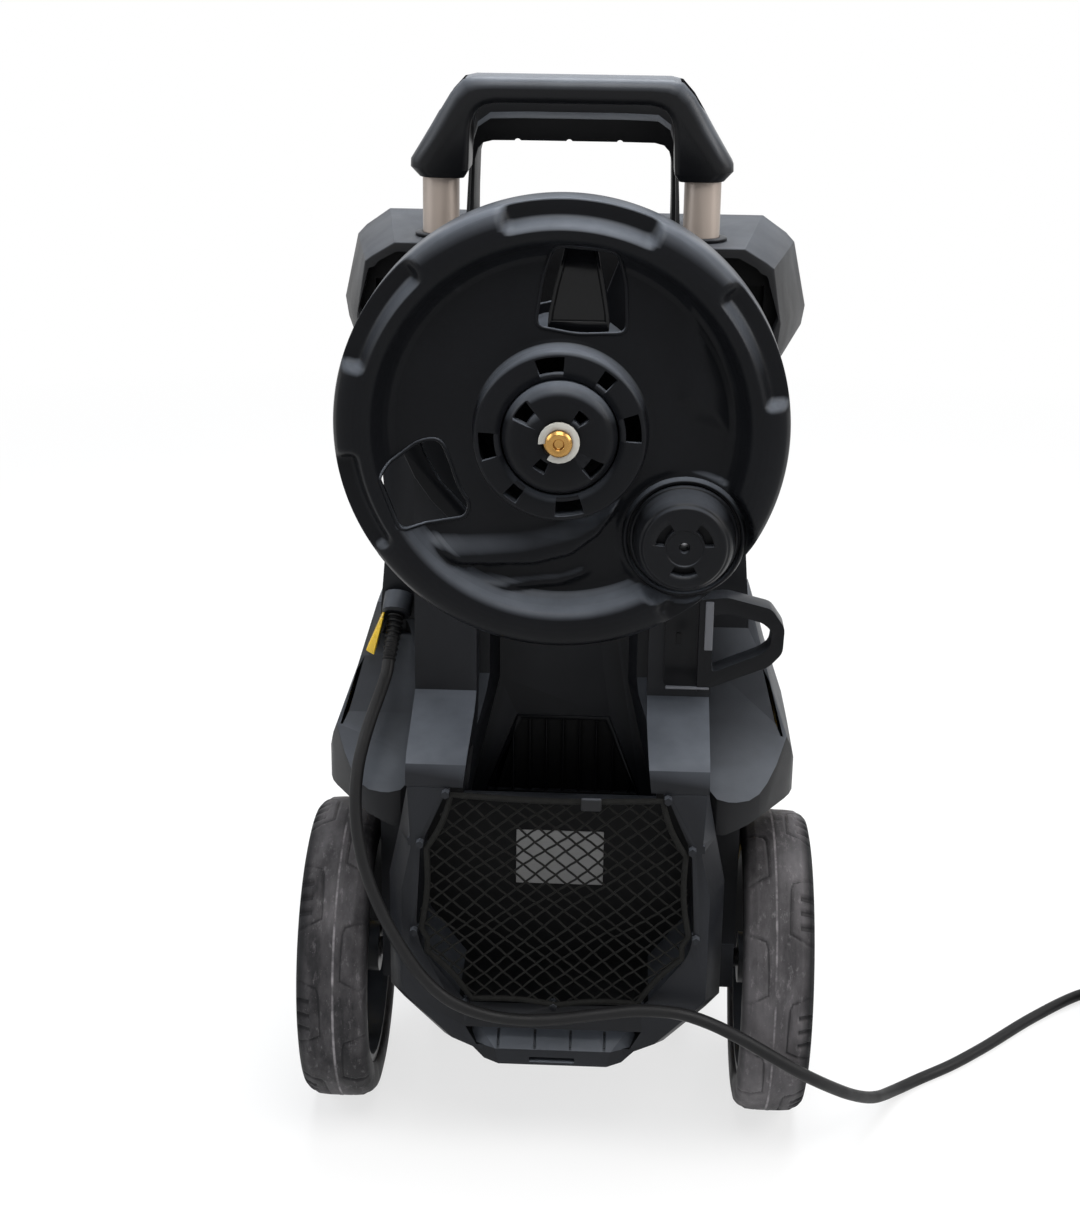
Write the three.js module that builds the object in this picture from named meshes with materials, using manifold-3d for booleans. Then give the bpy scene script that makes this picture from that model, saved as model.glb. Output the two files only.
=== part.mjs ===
// Upright trolley pressure washer with a crank-wound hose reel, seen from its reel side as -Y.
// Millimetres. X points to the right seen from behind, Y to the front of the machine, Z up.
// All pieces are drawn with the wheel axle's line at y = 0, and the group is then centred on Y.
import * as THREE from "three";
import { mergeVertices } from "three/addons/utils/BufferGeometryUtils.js";
import Module from "manifold-3d";

const library = await Module();
library.setup();

// Clearances and shared walls
const seam = 0.3; // gap between two pieces that touch
const overrun = 3; // how far a cutter runs past the face that it cuts
const wall = 3.2;
const weldTolerance = 0.0005;
const sectorStep = 0.3; // radians between the points of a curved cut

// Wheels and axle
const wheelRadius = 100;
const wheelWidth = 45;
const wheelOuterX = 164;
const tyreBeadRadius = 78;
const tyreShoulderDrop = 5;
const tyreShoulderWidth = 8;
const treadDepth = 1.6;
const mouldLineWidth = 2.4;
const mouldLineHeight = 0.9;
const rimBand = 5;
const rimWebThickness = 6;
const rimWebInset = 16;
const rimWindowInner = 30;
const rimWindowMargin = 6;
const rimSpokeCount = 6;
const wheelHubRadius = 17;
const axleRadius = 6;
const axleEndX = 156;
const capRadius = 27;
const capThickness = 4;

// Base tray, which carries the axle, and the two rubber feet in front
const baseHalf = 100;
const baseTop = 120;
const baseBottom = 42;
const baseRearY = -20;
const baseRearBottom = 88;
const baseSlopeEndY = 88;
const baseFrontY = 238;
const baseNoseY = 304;
const baseNoseTop = 66;
const baseNoseShoulderZ = 104;
const baseNoseShoulderY = 262;
const baseFlareHalf = 125;
const baseFlareStartY = 112;
const baseFlareEndY = 150;
const baseNoseHalf = 96;
const footHeight = 8;
const footLength = 44;
const footWidth = 52;
const footX = 64;
const axleBlockHalf = 14;
const bracketHalf = 116.8; // side plates that carry the axle beside the tyres
const bracketFrontY = 50;
const bracketTop = 205;

// Lower rear housing with the net pocket
const tubRearY = -88;
const tubRimSlopeY = 18;
const tubTop = 258;
const tubTopHalf = 92;
const tubFlareHalf = 99;
const tubFlareZ = 222;
const tubFlareLowZ = 191;
const tubFlareEndY = -63.4; // the wide part of the tub ends in front of the fenders
const tubNeckZ = 200;
const tubHalf = 105.5;
const tubWideTop = 171;
const tubWideBottom = 112;
const tubCornerHalf = 97;
const tubCornerZ = 102;
const tubHeelHalf = 71;
const tubHeelZ = 76;
const tubStepHalf = 47;
const tubStepZ = 65;
const tubBottom = 62;
const tubBottomHalf = 38;
const tubRimShare = 0.91; // the rim's outline against the widest outline
const tubKeelRise = 14;
const pocketTopHalf = 68;
const pocketShoulderHalf = 84;
const pocketShoulderZ = 218;
const pocketHalf = 87;
const pocketWideZ = 163;
const pocketCornerHalf = 84;
const pocketCornerDrop = 16;
const pocketCornerZ = pocketWideZ - pocketCornerDrop;
const pocketFloorHalf = 56;
const pocketFloorZ = 110;
const pocketBackY = -30;
const pocketBackTop = 226;
const stepGrooveTop = 92;
const stepGrooveHalf = 56;
const stepLipTop = 76;
const stepLipHalf = 49;
const stepGrooveDepth = 24;
const stepRibCount = 4;
const stepRibPitch = 20;
const stepRibWidth = 5;
const stepRibHeight = 1.6;
const stepSlotHalf = 14.5;
const stepSlotHeight = 3;
const hookPegRadius = 2.6;
const hookPegLength = 5;
const hookSideX = 84;
const hookSideTopZ = 221;
const hookSideLowZ = 160;
const hookLowX = 56;

// Accessory net
const netThickness = 2;
const netPitch = 17.6;
const netStrand = 2.4;
const netBorder = 4.5;
const netTopZ = 255;
const netPegGap = 4.4;

// Rear shell with its two pillars
const towerHalf = 112;
const towerTopHalf = 121;
const towerWaistHalf = 117;
const towerWaistZ = 345;
const towerNeckZ = 400;
const towerTop = 504.7;
const towerRearY = 0;
const towerLedgeZ = 300;
const partingY = 70;
const panelY = 20;
const panelWall = 4;
const panelHalf = 42;
const panelLowHalf = 62;
const panelLow = 202;
const panelFlareZ = 290;
const rearFaceY = -25;
const pillarInner = 54;
const pillarOuter = 93;
const pillarFlare = 10; // how far the pillars' inner sides lean out down to panelLow
const rampTop = 297.5;
const rampFoot = 266;
const rampShares = [[0, 1], [0.08, 0.92], [0.5, 0.62], [0.86, 0.36], [0.96, 0.2], [1, 0]];
const grilleTopHalf = 30.5;
const grilleTop = 264;
const grilleLowHalf = 52.5;
const grilleLow = 206;
const grillePitch = 11;
const grilleFrame = 3;
const grilleDepth = 4;
const grilleBarCount = 9;
const grilleBarWidth = 1.8;

// Head that caps the pillars, with its two raised corners
const headTop = 580;
const headRearHalf = 103;
const headCornerHalf = 116.4;
const headCornerZ = 572;
const headLedgeHalf = 120.6;
const headLedgeZ = 568.8;
const headSideHalf = 126;
const headSideZ = 536;
const headUnderHalf = 124;
const headUnderZ = 516;
const headDeepY = 110;
const headNoseY = 146;
const headNoseTop = 556;
const headNoseHalf = 100;
const headNoseSideHalf = 116;
const headSpread = 18; // each side moves out by this much from the rear face to headDeepY
const headSag = 7;
const headCavityHalf = 58;
const headRoof = 8;

// Yellow front cover
const coverFootY = 235;
const coverMidY = 198;
const coverWaistY = 188;
const coverNeckY = 174;
const coverTopY = 142;
const coverCornerLong = 48;
const coverCornerWide = 40;
const switchZ = 420;
const switchBossRadius = 34;
const switchBossFaceY = 181;
const switchKnobRadius = 28;
const switchKnobHeight = 15;
const switchGripWidth = 12;
const switchGripHeight = 7;
const switchStemRadius = 7;
const switchStemLength = 16;
const inletX = 58;
const inletZ = 158;
const inletRadius = 9;
const inletBore = 6;
const inletFlangeRadius = 14;
const inletLength = 44;

// Side fenders over the wheels
const fenderInner = 93.4;
const fenderHalf = 150;
const fenderLow = 219;
const fenderLowHalf = 104;
const fenderLowRise = 231;
const fenderLowRiseHalf = 128;
const fenderLipTop = 242;
const fenderFlankTop = 250;
const fenderHipHalf = 146;
const fenderHipZ = 266;
const fenderWaistHalf = 133;
const fenderWaistZ = 301;
const fenderTopHalf = 120;
const fenderTopZ = 345;
const fenderRearY = -62;
const fenderFrontY = 92;
const fenderSlopeTopY = 5;
const fenderSlopeMidY = -12;
const fenderSlopeMidZ = 315;
const fenderDish = [[-25, 281], [-41, 259], [-56, 247]]; // y and z of the hollow above the lip
const fenderCornerLong = 44;
const fenderCornerWide = 26;

// Telescopic handle
const tubeRadius = 11;
const tubeWall = 1.5;
const tubeX = 78;
const tubeY = 5;
const tubeLow = 284;
const tubeBoreClearance = 1;
const sleeveWall = 2.3;
const sleeveCollar = 2;
const sleeveCollarHeight = 2;
const gripTop = 674;
const gripTopHalf = 66;
const gripOuter = 96;
const gripOuterZ = 624.5;
const gripLow = 615.5;
const gripInner = 61;
const gripArch = [[59.5, 647], [55, 656], [44, 659.2]]; // x and z over the hand opening
const gripRearY = -11;
const gripFrontY = 26;
const gripSocketDepth = 22;
const gripRecess = 7;
const gripRecessLow = 20;
const gripRecessTop = 5;
const gripEdge = 3;

// Fixed carry handle in front of the telescopic one
const carryRoom = 53.6; // from the head's top to the underside of the bow
const carryDepth = 28.4;
const carryCornerDrop = 9;
const carryLegDrop = 22;
const carryShoulderHalf = 61;
const carryLegTopHalf = 63;
const carryInner = 60.5;
const carryOuter = 66;
const carryRearY = 30;
const carryFrontY = 84;
const carryNotchRadius = 2;
const carryNotchPitch = 31;

// Hose reel, its spindle and crank knob
const reelZ = 493.5;
const reelRadius = 127.7;
const rimFrontY = -133.5;
const rimRearY = -98;
const rimCrestRadius = 113;
const rimShoulderY = -124;
const rimInnerRadius = 110;
const dishRadius = 98;
const dishY = -116;
const dishHubY = -123.5;
const flangeWall = 3.2;
const hubRingRadius = 48;
const hubRingY = -140;
const hubRingInner = 33;
const hubCapY = -148;
const hubCapRadius = 31.8;
const hubCapRearY = -121;
const hubFlare = 6;
const drumRadius = 52;
const drumWall = 3;
const rearFlangeY = -44;
const rearFlangeRadius = 104;
const rearFlangeThickness = 3.5;
const rearWindowCount = 6;
const rearWindowInner = 58;
const rearWindowOuter = 92;
const spindleRadius = 8.7;
const spindleFrontY = -156;
const spindleRearY = 26;
const spindleBore = 3;
const spindleNose = 2;
const clipGroove = 0.8;
const clipGrooveY = -152.2;
const clipThickness = 2.6;
const clipRadius = 12.7;
const clipMouth = 0.9; // radians left open in the clip
const knobX = 70.6;
const knobZ = 432.5;
const knobFrontY = -143.5;
const knobBaseY = -121;
const knobBossRadius = 36;
const knobCollarRadius = 34;
const knobCollarLength = 7;
const knobNeckRadius = 28.5;
const knobRadius = 25.4;
const knobDiscRadius = 13.4;
const knobDiscDepth = 1.6;
const knobPinRadius = 4.2;
const knobPinEndY = -137;
const knobScrewRadius = 2.6;
const bladeHeight = 6;
const fingerCutDepth = 5.5;
const carrierHalf = 66;
const carrierLow = 452;
const carrierTop = 538;
const carrierThickness = 6;
const carrierSocketRadius = 15;
const carrierSocketY = -39.5;

// Hook for hose and cable on the right pillar
const hookPlateInner = 64;
const hookPlateTop = 368;
const hookPlateLow = 307;
const hookPlateThickness = 5;
const hookRearY = -42;
const hookBand = 8.5;
const hookReach = 137;

// Pump set inside the covers
const pumpY = 112;
const pumpHeadHalf = 38;
const pumpHeadTop = 168;
const pumpCaseRadius = 46;
const pumpCaseTop = 214;
const pistonRadius = 7;
const pistonOrbit = 22;
const pistonLow = 150;
const swashTop = 205;
const swashRadius = 32;
const swashRise = 8;
const swashThickness = 7;
const motorRadius = 58;
const motorTop = 352;
const motorWall = 4;
const shaftRadius = 6;
const shaftTop = 382;
const rotorRadius = 34;
const rotorLow = 236;
const rotorTop = 330;
const fanRadius = 50;
const fanThickness = 3;
const fanBladeHeight = 12;
const fanBladeCount = 7;
const fanZ = 364;
const linkHoseRadius = 6;
const linkHoseInset = 16;
const linkHoseX = linkHoseInset - baseHalf;
const elbowRadius = 8;

// Power cord
const cordRadius = 4;
const cordSides = 8;
const reliefStart = new THREE.Vector3(-106.5, -9, 341);
const reliefEnd = new THREE.Vector3(-109, -30, 318);
const reliefRadius = 7.2;
const reliefTipRadius = 5.4;
const reliefRibCount = 4;
const glandRadius = 9.5;
const glandLength = 14;
const coilX = 458;
const coilY = 100;
const coilRadius = 62;
const coilPitch = 8.6;
const coilLayers = 4;
const coilTurnsPerLayer = 3.25;
const coilStartAngle = 112 * (Math.PI / 180);
const coilStepsPerTurn = 24;
const coilSides = 6;
const floorGap = 0.2;
const tieWidth = 12;
const tieThickness = 1.6;
const tieClearance = 0.7;
const tieAngle = -20 * (Math.PI / 180);
const plugRadius = 18;
const plugLength = 34;
const plugCollarRadius = 8;
const plugCollarLength = 16;
const plugPinRadius = 2.4;
const plugPinLength = 19;
const plugPinSpacing = 19;

// Materials
const blackPlastic = finish(0x2b2d31, 0.55, 0);
const greyPlastic = finish(0x3b3d41, 0.5, 0);
const reelPlastic = finish(0x26282b, 0.48, 0);
const yellowPlastic = finish(0xe8b90c, 0.45, 0);
const rubber = finish(0x232323, 0.85, 0);
const netCord = finish(0x35352f, 0.95, 0);
const paintedTube = finish(0xb4aaa2, 0.45, 0.5);
const brass = finish(0xc59a44, 0.35, 1);
const steel = finish(0x9a9da1, 0.35, 1);
const clipPlastic = finish(0xd8d6cc, 0.6, 0);

function finish(color, roughness, metalness) {
  return new THREE.MeshStandardMaterial({ color, roughness, metalness });
}

// Turns a closed geometry into a solid, with its faces pointing out.
function solid(geometry) {
  const bare = geometry.index ? geometry.toNonIndexed() : geometry.clone();
  for (const name of Object.keys(bare.attributes)) {
    if (name !== "position") bare.deleteAttribute(name);
  }
  const merged = mergeVertices(bare, weldTolerance);
  const vertProperties = merged.attributes.position.array;
  const triVerts = Uint32Array.from(merged.index.array);
  const corner = [new THREE.Vector3(), new THREE.Vector3(), new THREE.Vector3()];
  let volume = 0;
  for (let i = 0; i < triVerts.length; i += 3) {
    corner.forEach((point, k) => point.fromArray(vertProperties, triVerts[i + k] * 3));
    volume += corner[0].dot(corner[1].cross(corner[2]));
  }
  if (volume < 0) {
    for (let i = 0; i < triVerts.length; i += 3) {
      [triVerts[i + 1], triVerts[i + 2]] = [triVerts[i + 2], triVerts[i + 1]];
    }
  }
  return new library.Manifold(new library.Mesh({ numProp: 3, vertProperties, triVerts }));
}

function joined(...pieces) {
  return pieces.reduce((whole, piece) => whole.add(piece));
}

function node(name, body, material) {
  const mesh = body.getMesh();
  const geometry = new THREE.BufferGeometry();
  geometry.setAttribute("position", new THREE.BufferAttribute(mesh.vertProperties, 3));
  geometry.setIndex(new THREE.BufferAttribute(mesh.triVerts, 1));
  geometry.computeVertexNormals();
  const piece = new THREE.Mesh(geometry, material);
  piece.name = name;
  return piece;
}

// A closed outline with its corners rounded to a radius, or sharp at zero.
function outline(points, radius = 0) {
  const shape = new THREE.Shape();
  const corners = points.map(([x, y]) => new THREE.Vector2(x, y));
  corners.forEach((corner, i) => {
    const before = corners[(i + corners.length - 1) % corners.length];
    const after = corners[(i + 1) % corners.length];
    const back = before.clone().sub(corner);
    const ahead = after.clone().sub(corner);
    const cut = Math.min(radius, back.length() / 2.2, ahead.length() / 2.2);
    const from = corner.clone().add(back.setLength(cut));
    const to = corner.clone().add(ahead.setLength(cut));
    if (i === 0) shape.moveTo(from.x, from.y);
    else shape.lineTo(from.x, from.y);
    if (cut > 0) shape.quadraticCurveTo(corner.x, corner.y, to.x, to.y);
  });
  shape.closePath();
  return shape;
}

function extruded(shape, depth, curveSegments = 3) {
  return new THREE.ExtrudeGeometry(shape, { depth, bevelEnabled: false, curveSegments });
}

// Outlines drawn in x and z, pushed along Y.
function prismY(points, fromY, toY, radius = 0, curveSegments = 3) {
  const geometry = extruded(outline(points, radius), toY - fromY, curveSegments);
  return solid(geometry.rotateX(Math.PI / 2).translate(0, toY, 0));
}

// Outlines drawn in y and z, pushed along X.
function prismX(points, fromX, toX, radius = 0) {
  const turn = new THREE.Matrix4().makeBasis(
    new THREE.Vector3(0, 1, 0), new THREE.Vector3(0, 0, 1), new THREE.Vector3(1, 0, 0));
  const geometry = extruded(outline(points, radius), toX - fromX);
  return solid(geometry.applyMatrix4(turn).translate(fromX, 0, 0));
}

// Outlines drawn in x and y, pushed along Z.
function prismZ(points, fromZ, toZ, radius = 0) {
  return solid(extruded(outline(points, radius), toZ - fromZ).translate(0, 0, fromZ));
}

function block(fromX, toX, fromY, toY, fromZ, toZ) {
  const geometry = new THREE.BoxGeometry(toX - fromX, toY - fromY, toZ - fromZ);
  return solid(geometry.translate((fromX + toX) / 2, (fromY + toY) / 2, (fromZ + toZ) / 2));
}

// A round bar along Y, Z or X between two places on that axis.
function barY(x, z, radius, fromY, toY, sides = 24) {
  const geometry = new THREE.CylinderGeometry(radius, radius, toY - fromY, sides);
  return solid(geometry.translate(x, (fromY + toY) / 2, z));
}

function barZ(x, y, radius, fromZ, toZ, sides = 24) {
  const geometry = new THREE.CylinderGeometry(radius, radius, toZ - fromZ, sides);
  return solid(geometry.rotateX(Math.PI / 2).translate(x, y, (fromZ + toZ) / 2));
}

function barX(y, z, radius, fromX, toX, sides = 24) {
  const geometry = new THREE.CylinderGeometry(radius, radius, toX - fromX, sides);
  return solid(geometry.rotateZ(Math.PI / 2).translate((fromX + toX) / 2, y, z));
}

// Profiles of [radius, place along the axis], turned about an axis through the given point.
function latheGeometry(profile, segments) {
  const points = profile.map(([r, along]) => new THREE.Vector2(r, along));
  const closesOnAxis = profile[0][0] === 0 && profile[profile.length - 1][0] === 0;
  if (!closesOnAxis) points.push(points[0].clone());
  return new THREE.LatheGeometry(points, segments);
}

function turnedY(profile, x, z, segments = 48) {
  return solid(latheGeometry(profile, segments).translate(x, 0, z));
}

function turnedZ(profile, x, y, segments = 48) {
  return solid(latheGeometry(profile, segments).rotateX(Math.PI / 2).translate(x, y, 0));
}

function turnedX(profile, y, z, segments = 48) {
  return solid(latheGeometry(profile, segments).rotateZ(-Math.PI / 2).translate(0, y, z));
}

// Triangles that close a ring and run the same way round as it does.
function capFaces(ring, flatten) {
  const flat = ring.map(flatten);
  const faces = THREE.ShapeUtils.triangulateShape([...flat], []);
  const turn = faces.reduce((sum, face) => sum + THREE.ShapeUtils.area(face.map((i) => flat[i])), 0);
  return turn * THREE.ShapeUtils.area(flat) < 0 ? faces.map(([a, b, c]) => [a, c, b]) : faces;
}

// Joins rings of equal point counts into one skin and closes both ends.
function loft(rings, flatten) {
  const count = rings[0].length;
  const positions = rings.flat().flatMap((point) => [point.x, point.y, point.z]);
  const faces = [];
  for (let ring = 0; ring + 1 < rings.length; ring += 1) {
    for (let i = 0; i < count; i += 1) {
      const a = ring * count + i;
      const b = ring * count + ((i + 1) % count);
      faces.push(a, b, a + count, b, b + count, a + count);
    }
  }
  const last = (rings.length - 1) * count;
  capFaces(rings[0], flatten).forEach(([a, b, c]) => faces.push(a, c, b));
  capFaces(rings[rings.length - 1], flatten)
    .forEach(([a, b, c]) => faces.push(last + a, last + b, last + c));
  const geometry = new THREE.BufferGeometry();
  geometry.setAttribute("position", new THREE.Float32BufferAttribute(positions, 3));
  geometry.setIndex(faces);
  return solid(geometry);
}

// Sections of [y, outline in x and z].
function loftY(sections) {
  const rings = sections.map(([y, points]) => points.map(([x, z]) => new THREE.Vector3(x, y, z)));
  return loft(rings, (point) => new THREE.Vector2(point.x, point.z));
}

// Sections of [z, outline in x and y].
function loftZ(sections) {
  const rings = sections.map(([z, points]) => points.map(([x, y]) => new THREE.Vector3(x, y, z)));
  return loft(rings, (point) => new THREE.Vector2(point.x, point.y));
}

// The right half of an outline, from top to bottom, closed by its mirror image.
function mirrored(half) {
  const left = half.filter(([x]) => x > 0).map(([x, z]) => [-x, z]).reverse();
  return [...half, ...left];
}

// An outline drawn in or out about a centre by a share.
function shrunk(points, centre, share) {
  return points.map(([x, z]) => [x * share, centre + (z - centre) * share]);
}

function flipped(points, side) {
  return points.map(([x, z]) => [x * side, z]);
}

// A ring segment about an axis along Y, from one angle to another, for windows and cuts.
function sectorY(x, z, inner, outer, fromAngle, toAngle, fromY, toY, corner = 0) {
  const shape = new THREE.Shape();
  const steps = Math.max(2, Math.ceil((toAngle - fromAngle) / sectorStep));
  const at = (radius, angle) => [x + radius * Math.cos(angle), z + radius * Math.sin(angle)];
  const points = [];
  for (let i = 0; i <= steps; i += 1) {
    points.push(at(outer, fromAngle + ((toAngle - fromAngle) * i) / steps));
  }
  for (let i = steps; i >= 0; i -= 1) {
    points.push(at(inner, fromAngle + ((toAngle - fromAngle) * i) / steps));
  }
  shape.setFromPoints(points.map(([px, pz]) => new THREE.Vector2(px, pz)));
  if (corner > 0) return prismY(points, fromY, toY, corner);
  const geometry = extruded(shape, toY - fromY);
  return solid(geometry.rotateX(Math.PI / 2).translate(0, toY, 0));
}

// A tube of even section along a list of points.
function tubeAlong(points, radius, sides, steps) {
  const curve = new THREE.CatmullRomCurve3(points, false, "centripetal");
  const ring = [];
  for (let i = 0; i < sides; i += 1) {
    const angle = (2 * Math.PI * i) / sides;
    ring.push(new THREE.Vector2(radius * Math.cos(angle), radius * Math.sin(angle)));
  }
  const options = { steps, extrudePath: curve, bevelEnabled: false };
  return solid(new THREE.ExtrudeGeometry(new THREE.Shape(ring), options));
}

// A lathe profile along a slanted line, which starts at one point and heads for another.
function turnedAlong(profile, from, to, segments = 16) {
  const direction = to.clone().sub(from).normalize();
  const turn = new THREE.Quaternion().setFromUnitVectors(new THREE.Vector3(0, 1, 0), direction);
  const geometry = latheGeometry(profile, segments).applyQuaternion(turn);
  return solid(geometry.translate(from.x, from.y, from.z));
}

// Wheels
function tyre(side) {
  const inner = wheelOuterX - wheelWidth;
  const middle = (inner + wheelOuterX) / 2;
  const tread = wheelWidth / 2 - tyreShoulderWidth;
  const shoulder = wheelRadius - tyreShoulderDrop;
  const flank = tyreShoulderDrop + tyreShoulderWidth;
  const line = mouldLineWidth / 2;
  const profile = [
    [tyreBeadRadius, inner + treadDepth], [shoulder - flank, inner], [shoulder, inner + treadDepth],
    [wheelRadius - mouldLineHeight, middle - tread], [wheelRadius - mouldLineHeight, middle - line],
    [wheelRadius, middle], [wheelRadius - mouldLineHeight, middle + line],
    [wheelRadius - mouldLineHeight, middle + tread], [shoulder, wheelOuterX - treadDepth],
    [shoulder - flank, wheelOuterX], [tyreBeadRadius, wheelOuterX - treadDepth],
  ].map(([r, x]) => [r, x * side]);
  return turnedX(profile, 0, wheelRadius, 28);
}

function rim(side) {
  const inner = wheelOuterX - wheelWidth;
  const outer = tyreBeadRadius - seam;
  const web = wheelOuterX - rimWebInset;
  const profile = [
    [axleRadius + seam, inner + treadDepth], [wheelHubRadius, inner + treadDepth],
    [wheelHubRadius, web - rimWebThickness], [outer - rimBand, web - rimWebThickness],
    [outer - rimBand, inner + treadDepth * 2], [outer, inner + treadDepth * 2],
    [outer, wheelOuterX - treadDepth * 2], [outer - rimBand, web], [capRadius - capThickness, web],
    [wheelHubRadius, wheelOuterX - capThickness * 2], [axleRadius + seam, wheelOuterX - capThickness * 2],
  ].map(([r, x]) => [r, x * side]);
  let body = turnedX(profile, 0, wheelRadius, 28);
  const windowOuter = outer - rimBand - rimWindowMargin;
  const step = (2 * Math.PI) / rimSpokeCount;
  for (let i = 0; i < rimSpokeCount; i += 1) {
    const points = [];
    const halfOuter = step / 2 - rimWindowMargin / windowOuter;
    const halfInner = step / 2 - (rimWindowMargin * 1.5) / rimWindowInner;
    for (const [radius, half] of [[windowOuter, halfOuter], [rimWindowInner, -halfInner]]) {
      for (const share of [-1, 0, 1]) {
        const angle = i * step + half * share;
        points.push([radius * Math.cos(angle), wheelRadius + radius * Math.sin(angle)]);
      }
    }
    const from = Math.min((web + overrun) * side, (web - rimWebThickness - overrun) * side);
    body = body.subtract(prismX(points, from, from + rimWebThickness + overrun * 2));
  }
  return body;
}

function wheelCap(side) {
  const seat = wheelOuterX - capThickness * 2 + seam;
  const web = wheelOuterX - rimWebInset + seam;
  const profile = [
    [0, seat], [wheelHubRadius + seam, seat], [capRadius - capThickness + seam * 2, web],
    [capRadius, web], [capRadius, web + capThickness], [wheelHubRadius + capThickness, wheelOuterX],
    [capThickness, wheelOuterX], [0, wheelOuterX - capThickness / 4],
  ].map(([r, x]) => [r, x * side]);
  return turnedX(profile, 0, wheelRadius, 20);
}

function axle() {
  return barX(0, wheelRadius, axleRadius, -axleEndX + seam * 2, axleEndX - seam * 2, 16);
}

// Base tray and feet
function basePlan(inset) {
  return mirrored([
    [baseHalf - inset, baseRearY + inset], [baseHalf - inset, baseFlareStartY],
    [baseFlareHalf - inset, baseFlareEndY], [baseFlareHalf - inset, baseFrontY - inset],
    [baseNoseHalf - inset, baseNoseY - inset],
  ]);
}

function baseTray() {
  const side = [
    [baseRearY, baseRearBottom], [baseRearY, baseTop], [baseFrontY, baseTop],
    [baseNoseShoulderY, baseNoseShoulderZ], [baseNoseY, baseNoseTop],
    [baseNoseY, footHeight + seam], [baseNoseY - footLength - wall, footHeight + seam],
    [baseNoseY - footLength - wall * 4, baseBottom], [baseSlopeEndY, baseBottom],
  ];
  const outer = prismZ(basePlan(0), footHeight, baseTop, wall)
    .intersect(prismX(side, -baseFlareHalf, baseFlareHalf));
  const hollow = prismZ(basePlan(wall), baseBottom - overrun, baseTop - wall)
    .intersect(block(-baseFlareHalf, baseFlareHalf, baseRearY, baseFrontY, 0, baseTop));
  const axleBlock = block(-baseHalf, baseHalf, -axleBlockHalf, axleBlockHalf,
    wheelRadius - axleBlockHalf, baseTop - wall / 2);
  const bore = barX(0, wheelRadius, axleRadius + seam, -bracketHalf - overrun, bracketHalf + overrun);
  const brackets = [1, -1].map((side) => sideBlock(side, baseHalf - wall, bracketHalf, baseRearBottom, baseTop));
  return joined(outer.subtract(hollow), axleBlock, ...brackets).subtract(bore);
}

// One of a pair of plates at the sides, between the wheels and the body.
function sideBlock(side, fromX, toX, fromZ, toZ) {
  return side > 0 ? block(fromX, toX, baseRearY, bracketFrontY, fromZ, toZ)
    : block(-toX, -fromX, baseRearY, bracketFrontY, fromZ, toZ);
}

function rubberFoot(side) {
  const x = footX * side;
  const half = footWidth / 2;
  const rear = baseNoseY - footLength;
  return prismZ([[x - half, rear], [x + half, rear], [x + half, baseNoseY - wall],
    [x - half, baseNoseY - wall]], 0, footHeight, wall);
}

// Lower rear housing
function tubOutline(flares) {
  const neck = flares ? [tubFlareHalf, tubFlareZ] : [tubTopHalf, tubNeckZ];
  return mirrored([
    [tubTopHalf, tubTop], neck, [tubHalf, flares ? tubFlareLowZ : tubWideTop], [tubHalf, tubWideBottom],
    [tubCornerHalf, tubCornerZ], [tubHeelHalf, tubHeelZ], [tubStepHalf, tubStepZ],
    [tubBottomHalf, tubBottom],
  ]);
}

function pocketOutline() {
  return mirrored([
    [pocketTopHalf, tubTop + overrun], [pocketTopHalf, netTopZ], [pocketShoulderHalf, pocketShoulderZ],
    [pocketHalf, pocketWideZ], [pocketCornerHalf, pocketCornerZ], [pocketFloorHalf, pocketFloorZ],
  ]);
}

function hookPlaces() {
  const pairs = [[pocketTopHalf, netTopZ], [hookSideX, hookSideTopZ],
    [pocketHalf + hookPegRadius / 2, hookSideLowZ], [hookLowX, pocketFloorZ]];
  return [...pairs.flatMap(([x, z]) => [[x, z], [-x, z]]), [0, pocketFloorZ]];
}

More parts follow.
